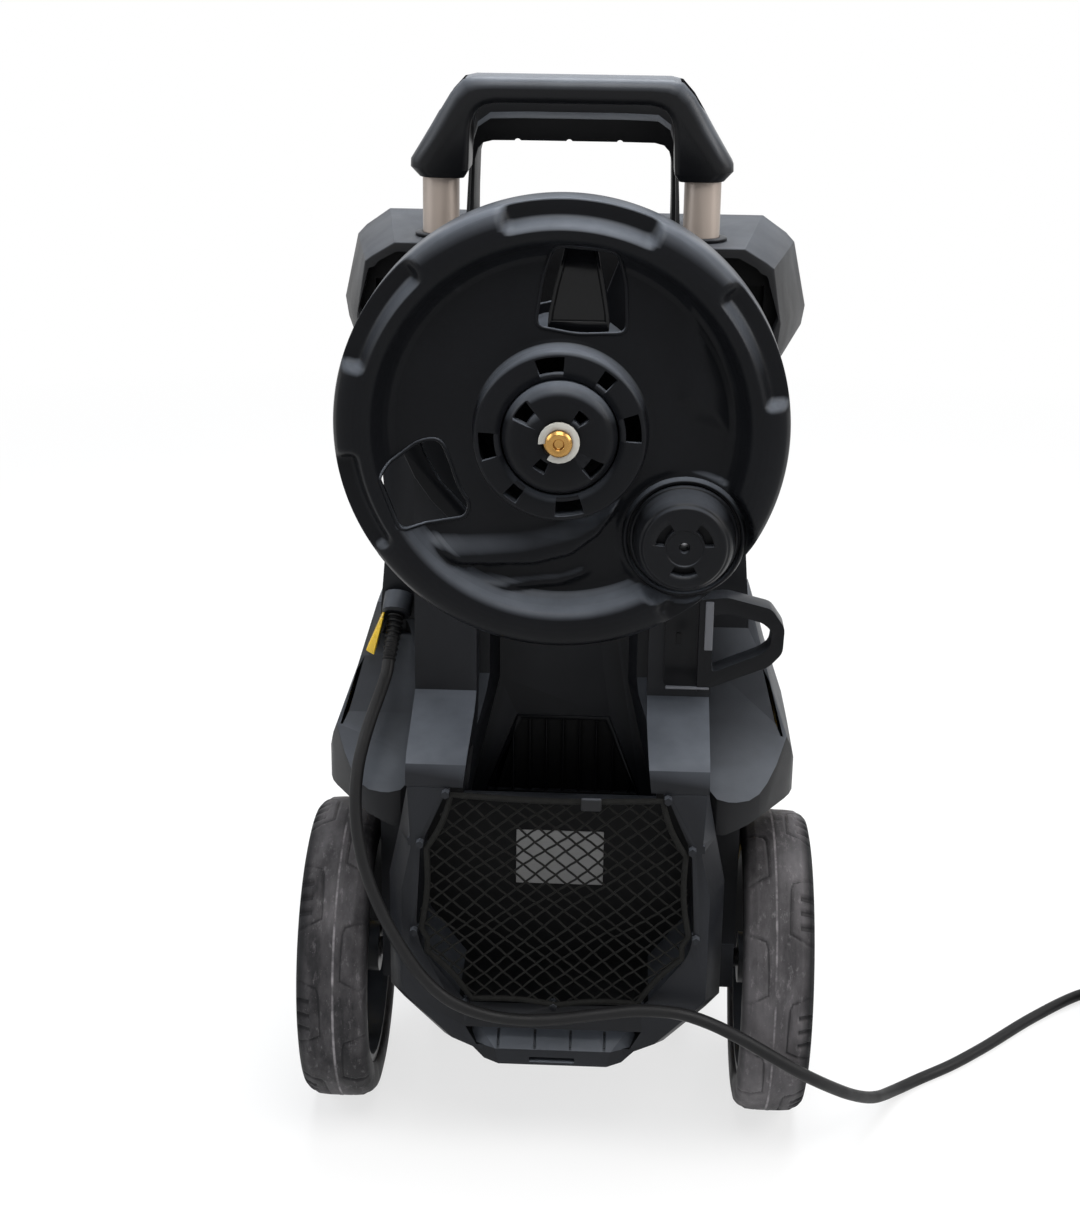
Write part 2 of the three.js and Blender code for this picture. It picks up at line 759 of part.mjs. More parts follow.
function netTub() {
  const widest = tubOutline(true);
  const middle = (tubTop + tubBottom) / 2;
  const rimRing = shrunk(widest, middle, tubRimShare);
  const topped = rimRing.map((point, i) => (widest[i][1] === tubTop ? widest[i] : point));
  let body = loftY([[tubRearY, topped], [tubRearY + tubRimSlopeY, widest],
    [tubFlareEndY, widest], [tubFlareEndY + seam, tubOutline(false)],
    [baseRearY - seam, tubOutline(false)]]);
  const step = prismX([
    [tubRearY, tubBottom], [tubRearY, stepLipTop], [tubRearY + tubRimSlopeY, stepLipTop],
    [tubRearY + tubRimSlopeY, tubBottom],
  ], -tubBottomHalf, tubBottomHalf);
  body = body.add(step);
  for (let i = 0; i < stepRibCount; i += 1) {
    const x = (i - (stepRibCount - 1) / 2) * stepRibPitch;
    body = body.add(block(x - stepRibWidth / 2, x + stepRibWidth / 2, tubRearY + wall,
      tubRearY + stepGrooveDepth + wall, stepLipTop - wall, stepLipTop + stepRibHeight));
  }
  const groove = prismY(mirrored([[stepGrooveHalf, stepGrooveTop],
    [stepLipHalf, stepLipTop + stepRibHeight * 2]]), tubRearY - overrun, tubRearY + stepGrooveDepth);
  const keel = prismX([
    [tubRearY + wall * 2, tubBottom - overrun * 4], [tubRearY + wall * 2, tubBottom],
    [baseRearY, tubBottom + tubKeelRise], [baseRearY, tubBottom - overrun * 4],
  ], -tubHalf, tubHalf);
  const slot = block(-stepSlotHalf, stepSlotHalf, tubRearY - overrun, tubRearY + wall,
    tubBottom + wall / 2, tubBottom + wall / 2 + stepSlotHeight);
  body = body.subtract(groove).subtract(keel).subtract(slot);
  body = body.subtract(prismY(pocketOutline(), tubRearY - overrun, pocketBackY, wall * 2));
  const throat = block(-panelLowHalf, panelLowHalf, pocketBackY - overrun, baseRearY, pocketBackTop,
    tubTop + overrun);
  body = body.subtract(throat);
  for (const [x, z] of hookPlaces()) {
    const back = pocketRimDepth();
    body = body.add(barY(x, z, hookPegRadius, tubRearY - hookPegLength, back, 6));
    body = body.add(hookRoot(x, z, back));
  }
  return body;
}

function pocketRimDepth() {
  return tubRearY + wall;
}

// Ties a peg that stands over the pocket's edge to the rim behind it.
function hookRoot(x, z, back) {
  const half = hookPegRadius;
  const outwardX = Math.sign(x) * hookPegRadius * 2;
  const lowX = Math.min(x - half, x - half + outwardX);
  const highX = Math.max(x + half, x + half + outwardX);
  const drop = z === pocketFloorZ ? hookPegRadius * 2 : 0;
  return block(lowX, highX, tubRearY + seam, back, z - half - drop, z + half);
}

// Net stretched over the pocket, with a thicker border that hangs on the pegs.
function accessoryNet() {
  const edge = mirrored([
    [pocketTopHalf - netPegGap, netTopZ], [pocketShoulderHalf - netPegGap, pocketShoulderZ],
    [pocketHalf - netPegGap + hookPegRadius / 2, pocketWideZ],
    [pocketCornerHalf - netPegGap, pocketCornerZ],
    [pocketFloorHalf - netPegGap, pocketFloorZ + netPegGap],
  ]);
  const holes = [];
  const inside = edge.map(([x, z]) => new THREE.Vector2(x, z));
  const rows = Math.ceil((netTopZ - pocketFloorZ) / netPitch) * 2;
  const columns = Math.ceil(pocketHalf / netPitch) + 1;
  const reach = (netPitch - netStrand * Math.SQRT2) / 2;
  for (let row = 0; row <= rows; row += 1) {
    for (let column = -columns; column <= columns; column += 1) {
      const x = (column + (row % 2 ? 0.5 : 0)) * netPitch;
      const z = netTopZ - (row * netPitch) / 2;
      const corners = [[x + reach, z], [x, z + reach], [x - reach, z], [x, z - reach]];
      if (corners.every(([px, pz]) => insideBy(inside, px, pz, netBorder))) {
        holes.push(prismY(corners, tubRearY - overrun, tubRearY));
      }
    }
  }
  const front = tubRearY - seam;
  return prismY(edge, front - netThickness, front).subtract(joined(...holes));
}

// Whether a point lies inside a convex outline by at least a margin.
function insideBy(corners, x, z, margin) {
  let nearest = Infinity;
  const turn = Math.sign(THREE.ShapeUtils.area(corners));
  corners.forEach((from, i) => {
    const to = corners[(i + 1) % corners.length];
    const edge = to.clone().sub(from);
    const offset = (edge.x * (z - from.y) - edge.y * (x - from.x)) / edge.length();
    nearest = Math.min(nearest, offset * turn);
  });
  return nearest >= margin;
}

// Rear shell: side walls, pillars, recessed centre panel
function towerHalfAt(z) {
  const table = [[baseTop, baseHalf], [tubNeckZ, towerHalf], [fenderWaistZ, towerWaistHalf - seam],
    [towerWaistZ, towerWaistHalf], [towerNeckZ, towerHalf + seam], [towerTop, towerTopHalf]];
  return readTable(table, z);
}

function coverFrontAt(z) {
  const table = [[baseTop, coverFootY], [fenderWaistZ, coverMidY], [towerWaistZ, coverWaistY],
    [towerNeckZ, coverNeckY], [towerTop, coverTopY]];
  return readTable(table, z);
}

function readTable(table, z) {
  if (z <= table[0][0]) return table[0][1];
  for (let i = 1; i < table.length; i += 1) {
    const [low, lowValue] = table[i - 1];
    const [high, highValue] = table[i];
    if (z <= high) return lowValue + ((highValue - lowValue) * (z - low)) / (high - low);
  }
  return table[table.length - 1][1];
}

const towerLevels = [baseTop + seam, tubNeckZ, fenderWaistZ, towerWaistZ, towerNeckZ, towerTop];

function pillarSide() {
  const ramp = rampShares.map(([outShare, downShare]) => [
    rearFaceY + (tubRearY - rearFaceY) * outShare, rampFoot + (rampTop - rampFoot) * downShare]);
  return [[panelY, towerTop], [rearFaceY, towerTop], ...ramp, [tubRearY, tubTop + seam],
    [panelY, tubTop + seam]];
}

function rearShell() {
  const plan = (z, inset, rear) => {
    const half = towerHalfAt(z) - inset;
    return [[half, rear], [half, partingY], [-half, partingY], [-half, rear]];
  };
  const plates = [1, -1].map((side) => sideBlock(side, baseHalf - wall, bracketHalf, baseTop + seam, bracketTop));
  let body = joined(loftZ(towerLevels.map((z) => [z, plan(z, 0, baseRearY)])), ...plates);
  const sideCut = prismX([
    [baseRearY - overrun, towerTop + overrun], [baseRearY - overrun, rampFoot],
    [baseRearY, rampFoot], [towerRearY, towerLedgeZ], [towerRearY, towerTop + overrun],
  ], -towerWaistHalf - overrun, towerWaistHalf + overrun);
  body = body.subtract(sideCut);
  for (const side of [1, -1]) {
    const from = side > 0 ? pillarInner : -pillarOuter;
    body = body.add(prismX(pillarSide(), from, from + pillarOuter - pillarInner));
  }
  const recess = (half, backHalf) => mirrored([[half, tubRearY - overrun], [half, rearFaceY],
    [backHalf, panelY]]);
  body = body.subtract(loftZ([
    [panelLow, recess(pillarInner + pillarFlare, panelLowHalf)],
    [panelFlareZ, recess(pillarInner, panelHalf)],
    [towerTop + overrun, recess(pillarInner, panelHalf)],
  ]));
  const hollowLevels = [baseTop + wall, ...towerLevels.slice(1, -1), towerTop - wall];
  const hollow = loftZ(hollowLevels.map((z) => [z, [
    [towerHalfAt(z) - wall, panelY + panelWall], [towerHalfAt(z) - wall, partingY + overrun],
    [wall - towerHalfAt(z), partingY + overrun], [wall - towerHalfAt(z), panelY + panelWall]]]));
  body = body.subtract(hollow);
  for (const side of [1, -1]) {
    body = body.subtract(barZ(tubeX * side, tubeY, tubeRadius + tubeBoreClearance, rampFoot,
      towerTop + overrun, 18));
  }
  const grilleHole = mirrored([[grilleTopHalf, grilleTop], [grilleLowHalf, grilleLow]]);
  body = body.subtract(prismY(grilleHole, panelY - overrun, panelY + panelWall + overrun));
  body = body.subtract(barY(0, reelZ, spindleRadius + seam, panelY - overrun,
    panelY + panelWall + overrun));
  return body.add(cordGland());
}

function cordGland() {
  const direction = reliefEnd.clone().sub(reliefStart).normalize();
  const root = reliefStart.clone().addScaledVector(direction, -glandLength);
  const length = glandLength - seam;
  return turnedAlong([[0, 0], [glandRadius, 0], [glandRadius, length - wall / 2],
    [glandRadius - wall / 2, length], [0, length]], root, reliefEnd, 14);
}

function grille() {
  const top = grilleTop - seam;
  const low = grilleLow + seam;
  const frame = prismY(mirrored([[grilleTopHalf - seam, top], [grilleLowHalf - seam, low]]),
    panelY, panelY + grilleDepth);
  const opening = prismY(mirrored([[grilleTopHalf - grilleFrame, top - grilleFrame],
    [grilleLowHalf - grilleFrame, low + grilleFrame]]), panelY - overrun,
  panelY + grilleDepth + overrun);
  let body = frame.subtract(opening);
  for (let i = 0; i < grilleBarCount; i += 1) {
    const x = (i - (grilleBarCount - 1) / 2) * grillePitch;
    const slat = block(x - grilleBarWidth / 2, x + grilleBarWidth / 2, panelY, panelY + grilleDepth,
      low, top);
    body = body.add(slat.intersect(frame));
  }
  return body;
}

// Head
function headSection(spread, sag, topZ) {
  return mirrored([
    [headRearHalf + spread, topZ], [headCornerHalf + spread * 1.12, headCornerZ - sag * 0.4],
    [headLedgeHalf + spread * 1.2, headLedgeZ - sag * 0.8],
    [headSideHalf + spread * 1.4, headSideZ - sag * 2], [headUnderHalf + spread * 1.4, headUnderZ - sag],
    [towerTopHalf + spread, towerTop + seam],
  ]);
}

function shoulderBlock() {
  const nose = mirrored([
    [headNoseHalf, headNoseTop], [headNoseHalf + wall, headNoseTop - wall],
    [headNoseSideHalf - wall, headNoseTop - wall * 3], [headNoseSideHalf, headUnderZ + wall],
    [headNoseSideHalf, headUnderZ], [headNoseSideHalf - wall, towerTop + seam],
  ]);
  let body = loftY([[rearFaceY, headSection(0, 0, headTop)],
    [headDeepY, headSection(headSpread, headSag, headTop)], [headNoseY, nose]]);
  body = body.subtract(block(-headCavityHalf, headCavityHalf, rearFaceY + wall, headDeepY,
    towerTop, headTop - headRoof));
  const bore = tubeRadius + seam + sleeveWall + seam;
  for (const side of [1, -1]) {
    body = body.subtract(barZ(tubeX * side, tubeY, bore, towerTop, headTop + overrun, 18));
    const from = side > 0 ? towerHalf - wall : -headSideHalf + wall;
    body = body.subtract(block(from, from + headSideHalf - towerHalf, towerRearY, headDeepY,
      towerTop, headUnderZ + headSag));
    const pocketFrom = side > 0 ? tubeX - bore - wall : -tubeX - bore - wall;
    body = body.subtract(block(pocketFrom, pocketFrom + bore * 2 + wall * 2, tubeY + bore + wall * 2,
      headDeepY, towerTop, headTop - headRoof));
  }
  return body;
}

function guideSleeve(side) {
  const inner = tubeRadius + seam;
  const outer = inner + sleeveWall;
  const low = towerTop + seam;
  return turnedZ([[inner, low], [outer, low], [outer, headTop + seam],
    [outer + sleeveCollar, headTop + seam], [outer + sleeveCollar, headTop + sleeveCollarHeight],
    [outer, headTop + sleeveCollarHeight + seam * 2], [inner, headTop + sleeveCollarHeight + seam * 2]],
  tubeX * side, tubeY, 18);
}

// Front cover
function coverPlan(z, inset) {
  const half = towerHalfAt(z) - inset;
  const front = coverFrontAt(z) - inset;
  return mirrored([
    [half, partingY + seam - (inset > 0 ? overrun : 0)], [half, front - coverCornerLong],
    [half - coverCornerWide * 0.3, front - coverCornerLong * 0.35],
    [half - coverCornerWide, front - coverCornerLong * 0.07], [half - coverCornerWide * 1.6, front],
  ]);
}

function frontCover() {
  const levels = towerLevels;
  const hollowLevels = [baseTop - overrun, ...levels.slice(1, -1), towerTop - wall];
  const boss = barY(0, switchZ, switchBossRadius, coverFrontAt(switchZ) - wall * 5, switchBossFaceY, 24);
  const skin = loftZ(levels.map((z) => [z, coverPlan(z, 0)])).add(boss);
  const hollow = loftZ(hollowLevels.map((z) => [z, coverPlan(z, wall)]));
  const bossHollow = barY(0, switchZ, switchBossRadius - wall, partingY, switchBossFaceY - wall, 24);
  const stemHole = barY(0, switchZ, switchStemRadius + seam, partingY, switchBossFaceY + overrun, 14);
  const inletHole = barY(inletX, inletZ, inletRadius + seam * 2, partingY, coverFootY + overrun, 16);
  return skin.subtract(hollow).subtract(bossHollow).subtract(stemHole).subtract(inletHole);
}

function powerSwitchKnob() {
  const seat = switchBossFaceY + seam;
  const face = seat + switchKnobHeight;
  const stem = seat - switchStemLength;
  const body = turnedY([[0, stem], [switchStemRadius, stem], [switchStemRadius, seat],
    [switchKnobRadius, seat], [switchKnobRadius, face - wall], [switchKnobRadius - wall, face],
    [0, face]], 0, switchZ, 24);
  const half = switchGripWidth / 2;
  const reach = switchKnobRadius - wall;
  return body.add(prismY([[-half, switchZ - reach], [half, switchZ - reach],
    [half, switchZ + reach], [-half, switchZ + reach]], face - wall, face + switchGripHeight, half));
}

function switchHousing() {
  const stemEnd = switchBossFaceY + seam - switchStemLength;
  const front = stemEnd - seam;
  const half = (switchBossRadius - wall) * Math.SQRT1_2 - seam * 4;
  const rear = front - switchBossRadius;
  return prismY([[-half, switchZ - half], [half, switchZ - half], [half, switchZ + half],
    [-half, switchZ + half]], rear, front, wall);
}

// Fenders
function fender(side) {
  const rearView = (inset) => flipped([
    [fenderInner, fenderLow - (inset > 0 ? overrun : 0)],
    [fenderLowHalf, fenderLow - (inset > 0 ? overrun : 0)],
    [fenderLowRiseHalf, fenderLowRise - (inset > 0 ? overrun : 0)],
    [fenderHalf - inset, fenderLowRise - (inset > 0 ? overrun : 0)],
    [fenderHalf - inset, fenderFlankTop], [fenderHipHalf - inset, fenderHipZ - inset],
    [fenderWaistHalf - inset, fenderWaistZ - inset], [fenderTopHalf - inset, fenderTopZ - inset],
    [fenderInner, fenderTopZ - inset],
  ], side);
  const sideView = (inset) => [
    [fenderFrontY - inset, fenderLow - (inset > 0 ? overrun : 0)],
    [fenderFrontY - inset, fenderWaistZ - inset],
    [partingY - inset, fenderTopZ - inset], [fenderSlopeTopY + inset, fenderTopZ - inset],
    [fenderSlopeMidY + inset, fenderSlopeMidZ - inset],
    ...fenderDish.map(([y, z]) => [y + inset, z - inset]),
    [fenderRearY + inset, fenderLipTop - inset], [fenderRearY + inset, fenderLow - (inset > 0 ? overrun : 0)],
  ];
  const planView = (inset) => flipped([
    [fenderInner, fenderRearY + inset], [fenderHalf - fenderCornerWide - inset, fenderRearY + inset],
    [fenderHalf - inset, fenderRearY + fenderCornerLong + inset],
    [fenderHalf - inset, fenderFrontY - fenderCornerWide - inset],
    [fenderHalf - fenderCornerWide - inset, fenderFrontY - inset], [fenderInner, fenderFrontY - inset],
  ], side);
  const form = (inset) => prismY(rearView(inset), fenderRearY, fenderFrontY)
    .intersect(prismX(sideView(inset), -fenderHalf, fenderHalf))
    .intersect(prismZ(planView(inset), fenderLow - overrun * 2, fenderTopZ, wall * 4));
  const keepOut = loftZ(towerLevels.map((z) => {
    const half = towerHalfAt(z) + seam;
    return [z, [[half, baseRearY - seam], [half, fenderFrontY + overrun],
      [-half, fenderFrontY + overrun], [-half, baseRearY - seam]]];
  }));
  const ledge = prismX([
    [baseRearY - overrun, towerTop + overrun], [baseRearY - overrun, rampFoot - seam * 3],
    [baseRearY, rampFoot - seam * 3], [towerRearY - seam, towerLedgeZ], [towerRearY - seam, towerTop],
  ], -towerWaistHalf - overrun, towerWaistHalf + overrun);
  const tub = block(-tubHalf, tubHalf, tubRearY, baseRearY, 0, tubTop + seam);
  const tubTrim = block(-tubTopHalf - seam, tubTopHalf + seam, tubRearY, baseRearY, 0, tubTop + seam);
  const gland = barZ(reliefStart.x, reliefStart.y, glandRadius + seam * 2,
    reliefStart.z - glandLength, fenderTopZ + overrun);
  const shell = form(0).subtract(form(wall).subtract(tub));
  return shell.subtract(keepOut.subtract(ledge)).subtract(tubTrim).subtract(gland);
}

// Telescopic handle
function handleTube(side) {
  const outer = tubeRadius;
  const inner = tubeRadius - tubeWall;
  const top = gripLow + gripSocketDepth - seam;
  return turnedZ([[inner, tubeLow], [outer, tubeLow], [outer, top], [inner, top]],
    tubeX * side, tubeY, 18);
}

function handleGrip() {
  const shape = outline(mirrored([
    [gripTopHalf, gripTop], [gripOuter, gripOuterZ], [gripOuter - gripEdge, gripLow],
    [gripInner, gripLow], ...gripArch,
  ]), gripEdge);
  const options = { depth: gripFrontY - gripRearY - gripEdge * 2, bevelEnabled: true,
    bevelThickness: gripEdge, bevelSize: gripEdge, bevelOffset: -gripEdge, bevelSegments: 2,
    curveSegments: 1 };
  const geometry = new THREE.ExtrudeGeometry(shape, options);
  let body = solid(geometry.rotateX(Math.PI / 2).translate(0, gripFrontY - gripEdge, 0));
  for (const side of [1, -1]) {
    body = body.subtract(barZ(tubeX * side, tubeY, tubeRadius + seam, gripLow - overrun,
      gripLow + gripSocketDepth, 18));
    const slant = new THREE.Vector2(gripOuter - gripTopHalf, gripOuterZ - gripTop);
    const out = new THREE.Vector2(-slant.y, slant.x).setLength(1);
    const at = (share, depth) => [
      (gripTopHalf + slant.x * share - out.x * depth) * side, gripTop + slant.y * share - out.y * depth];
    const topShare = gripRecessTop / slant.length();
    const lowShare = 1 - gripRecessLow / slant.length() / 3;
    const pocket = prismY([at(topShare, -overrun), at(lowShare, -overrun),
      at(lowShare, gripRecess * 0.4), at((topShare + lowShare) / 2, gripRecess), at(topShare, gripRecess * 0.6)],
    gripRearY + gripEdge * 2, gripFrontY - gripEdge * 2);
    body = body.subtract(pocket);
  }
  return body;
}

function carryHandle() {
  const carryUnder = headTop + carryRoom;
  const carryTop = carryUnder + carryDepth;
  const over = [[carryInner * 0.85, carryTop], [carryShoulderHalf, carryTop - carryCornerDrop],
    [carryLegTopHalf, carryTop - carryLegDrop], [carryOuter, headTop + seam]];
  const under = [[carryInner, headTop + seam], [carryInner - gripEdge, carryUnder - gripEdge * 2],
    [carryInner - gripEdge * 3, carryUnder - gripEdge / 2], [0, carryUnder]];
  const rightHalf = [...over, ...under];
  const left = rightHalf.filter(([x]) => x > 0).map(([x, z]) => [-x, z]).reverse();
  let body = prismY([...rightHalf, ...left], carryRearY, carryFrontY, gripEdge, 2);
  for (const step of [-1, 0, 1]) {
    body = body.subtract(barY(carryNotchPitch * step, carryUnder - carryNotchRadius / 2,
      carryNotchRadius, carryRearY - overrun, carryFrontY + overrun, 12));
  }
  return body;
}

// Reel
function reelFrontFlange() {
  const profile = [
    [hubRingInner, hubRingY], [hubRingRadius - seam, hubRingY], [hubRingRadius, dishHubY],
    [hubRingRadius + hubFlare, dishHubY], [dishRadius, dishY], [rimInnerRadius, rimFrontY],
    [rimCrestRadius, rimFrontY], [(rimCrestRadius + reelRadius) / 2 + wall / 2, rimFrontY + wall],
    [reelRadius, rimShoulderY], [reelRadius, rimRearY], [reelRadius - flangeWall, rimRearY],
    [reelRadius - flangeWall, rimShoulderY + wall / 2],
    [(rimCrestRadius + reelRadius) / 2, rimFrontY + wall * 2], [rimCrestRadius, rimFrontY + flangeWall],
    [dishRadius + flangeWall / 2, dishY + flangeWall], [hubRingRadius - flangeWall, dishHubY + flangeWall],
    [hubRingRadius - flangeWall, hubRingY + flangeWall], [hubRingInner, hubRingY + flangeWall],
  ];
  let body = turnedY(profile, 0, reelZ, 40);
  const envelope = turnedY([[0, dishHubY], [hubRingRadius, dishHubY], [dishRadius, dishY],
    [rimInnerRadius, rimFrontY], [rimCrestRadius, rimFrontY],
    [(rimCrestRadius + reelRadius) / 2 + wall / 2, rimFrontY + wall], [reelRadius, rimShoulderY],
    [reelRadius, dishY + flangeWall], [0, dishY + flangeWall]], 0, reelZ, 40);
  const clear = barY(knobX, knobZ, knobCollarRadius + seam * 2, rimFrontY - overrun, knobBaseY + seam);
  const boss = barY(knobX, knobZ, knobBossRadius + wall / 2, rimFrontY, dishY + flangeWall)
    .intersect(envelope);
  const pin = barY(knobX, knobZ, knobPinRadius, knobPinEndY, dishY, 12);
  body = joined(body, flangeBlade(sweepArm), flangeBlade(ridgeArm), boss).subtract(clear).add(pin);
  for (const points of [upperWindow(), lowerWindow()]) {
    body = body.subtract(prismY(points, rimFrontY - overrun, dishY + flangeWall * 4, wall * 1.4));
  }
  return body.subtract(ringSlots()).subtract(fingerCuts());
}

// Raised blades on the disc, as [angle in degrees, inner share, outer share] of the dish radius.
const sweepArm = [[-112, 0.66, 0.72], [-92, 0.6, 0.8], [-70, 0.62, 0.86], [-136, 0.8, 0.86],
  [-150, 0.93, 0.96]].sort((a, b) => a[0] - b[0]);
const ridgeArm = [[8, 0.78, 0.84], [28, 0.76, 0.87], [48, 0.82, 0.93], [62, 0.94, 0.98]];

function flangeBlade(table) {
  const at = (degrees, share) => {
    const angle = (degrees * Math.PI) / 180;
    return [dishRadius * share * Math.cos(angle), reelZ + dishRadius * share * Math.sin(angle)];
  };
  const points = [...table.map(([angle, , outer]) => at(angle, outer)),
    ...table.map(([angle, inner]) => at(angle, inner)).reverse()];
  return prismY(points, dishY - bladeHeight, dishY + flangeWall / 2);
}

function upperWindow() {
  const low = dishRadius * 0.58;
  const high = dishRadius * 1.03;
  return [[-hubRingInner * 0.55, reelZ + low], [hubRingInner * 0.97, reelZ + low * 0.99],
    [hubRingInner * 0.8, reelZ + high], [-hubRingInner * 0.32, reelZ + high]];
}

function lowerWindow() {
  return [[-0.77, -0.11], [-1.03, -0.29], [-0.95, -0.65], [-0.56, -0.6], [-0.64, -0.22]]
    .map(([xShare, zShare]) => [dishRadius * xShare, reelZ + dishRadius * zShare]);
}

// Four wide and three narrow drive slots in the hub ring.
function ringSlots() {
  const inner = hubRingInner + wall;
  const outer = hubRingRadius - wall;
  const wide = 0.19;
  const slots = [[98, wide], [8, wide], [-172, wide], [-82, wide], [52, wide / 2], [-128, wide / 2]];
  return joined(...slots.map(([degrees, half]) => {
    const angle = (degrees * Math.PI) / 180;
    return sectorY(0, reelZ, inner, outer, angle - half, angle + half, hubRingY - overrun,
      hubRingY + flangeWall * 3);
  }));
}

// Shallow finger recesses round the rim.
function fingerCuts() {
  const spans = [[62, 118], [134, 166], [8, 44], [186, 216], [-62, -50]];
  const inner = (rimCrestRadius + reelRadius) / 2 - wall;
  return joined(...spans.map(([from, to]) => sectorY(0, reelZ, inner, reelRadius + overrun,
    (from * Math.PI) / 180, (to * Math.PI) / 180, rimFrontY - overrun, rimFrontY + fingerCutDepth)));
}

function reelHubCap() {
  const rear = hubCapRearY;
  const bore = spindleRadius + seam * 2;
  let body = turnedY([
    [bore, hubCapY], [hubCapRadius - wall, hubCapY], [hubCapRadius, hubCapY + wall],
    [hubRingInner - seam, hubRingY + wall], [hubRingInner - seam, rear],
    [hubRingInner - seam - wall, rear], [hubRingInner - seam - wall, hubCapY + wall * 2],
    [bore, hubCapY + wall * 2],
  ], 0, reelZ, 28);
  const slots = [[142, 0.27], [-38, 0.27], [52, 0.12], [-128, 0.12]];
  const inner = hubCapRadius * 0.62;
  const outer = hubCapRadius * 0.86;
  for (const [degrees, half] of slots) {
    const angle = (degrees * Math.PI) / 180;
    body = body.subtract(sectorY(0, reelZ, inner, outer, angle - half, angle + half,
      hubCapY - overrun, hubCapY + wall + overrun));
  }
  return body;
}

function reelDrum() {
  const front = dishHubY + flangeWall + seam * 5;
  const rear = rearFlangeY - seam;
  const web = (front + rear) / 2;
  return turnedY([
    [drumRadius - drumWall, front], [drumRadius, front], [drumRadius, rear],
    [drumRadius - drumWall, rear], [drumRadius - drumWall, web + drumWall],
    [spindleRadius + drumWall, web + drumWall], [spindleRadius + drumWall, rear],
    [spindleRadius + seam, rear], [spindleRadius + seam, web], [drumRadius - drumWall, web],
  ], 0, reelZ, 24);
}

function reelRearFlange() {
  const rear = rearFlangeY + rearFlangeThickness;
  let body = turnedY([[spindleRadius + seam, rearFlangeY], [rearFlangeRadius, rearFlangeY],
    [rearFlangeRadius, rear], [spindleRadius + seam, rear]], 0, reelZ, 36);
  const step = (2 * Math.PI) / rearWindowCount;
  for (let i = 0; i < rearWindowCount; i += 1) {
    body = body.subtract(sectorY(0, reelZ, rearWindowInner, rearWindowOuter, i * step + step / 6,
      (i + 1) * step - step / 6, rearFlangeY - overrun, rear + overrun));
  }
  return body;
}

// Trough that leads the hose from its connection out onto the drum.
function hoseGuide() {
  const low = reelZ + drumRadius + seam;
  const high = reelZ + dishRadius * 0.98;
  const shape = (inset) => [[-hubRingInner * 0.4 + inset, low + inset],
    [hubRingInner * 0.8 - inset, low + inset], [hubRingInner * 0.72 - inset, high - inset],
    [hubRingInner * 0.12 + inset, high - inset]];
  const front = dishY + flangeWall + seam * 4;
  const rear = front + drumRadius / 2;
  return prismY(shape(0), front, rear, wall)
    .subtract(prismY(shape(wall * 0.8), front - overrun, rear - wall, wall));
}

function reelSpindle() {
  const groove = spindleRadius - clipGroove;
  const clipRear = clipGrooveY + clipThickness;
  return turnedY([
    [0, spindleFrontY + wall], [spindleBore, spindleFrontY + wall], [spindleBore, spindleFrontY],
    [spindleRadius - spindleNose, spindleFrontY], [spindleRadius, spindleFrontY + spindleNose],
    [spindleRadius, clipGrooveY - seam], [groove, clipGrooveY - seam], [groove, clipRear + seam],
    [spindleRadius, clipRear + seam], [spindleRadius, spindleRearY], [0, spindleRearY],
  ], 0, reelZ, 18);
}

function retainingClip() {
  const inner = spindleRadius - clipGroove + seam;
  const middle = (-150 * Math.PI) / 180;
  return sectorY(0, reelZ, inner, clipRadius, middle + clipMouth / 2,
    middle + 2 * Math.PI - clipMouth / 2, clipGrooveY, clipGrooveY + clipThickness);
}

function crankKnob() {
  const bore = knobPinRadius + seam;
  const collarFront = knobBaseY - knobCollarLength;
  let body = turnedY([
    [bore, knobBaseY], [knobCollarRadius - seam * 3, knobBaseY], [knobCollarRadius, knobBaseY - wall / 2],
    [knobCollarRadius - seam * 2, collarFront], [knobNeckRadius, collarFront - wall / 3],
    [knobRadius + seam * 3, knobFrontY + wall / 2], [knobRadius, knobFrontY],
    [knobDiscRadius + seam, knobFrontY], [knobDiscRadius, knobFrontY + knobDiscDepth],
    [knobScrewRadius, knobFrontY + knobDiscDepth], [knobScrewRadius, knobPinEndY - wall / 2],
    [bore, knobPinEndY - wall / 2],
  ], knobX, knobZ, 24);
  const inner = knobDiscRadius + wall / 4;
  const outer = (knobDiscRadius + knobRadius) / 2 - seam;
  for (const degrees of [150, 30, -90]) {
    const angle = (degrees * Math.PI) / 180;
    body = body.subtract(sectorY(knobX, knobZ, inner, outer, angle - 0.36, angle + 0.36,
      knobFrontY - overrun, knobFrontY + wall * 2));
  }
  return body;
}

function reelCarrier() {
  const rear = rearFaceY - seam - carrierThickness;
  const plate = prismY([[-carrierHalf, carrierLow], [carrierHalf, carrierLow],
    [carrierHalf, carrierTop], [-carrierHalf, carrierTop]], rear, rearFaceY - seam, wall * 4);
  const socket = barY(0, reelZ, carrierSocketRadius, carrierSocketY, rearFaceY - seam * 2, 18);
  const bore = barY(0, reelZ, spindleRadius + seam, carrierSocketY - overrun, rearFaceY + overrun, 18);
  return plate.add(socket).subtract(bore);
}

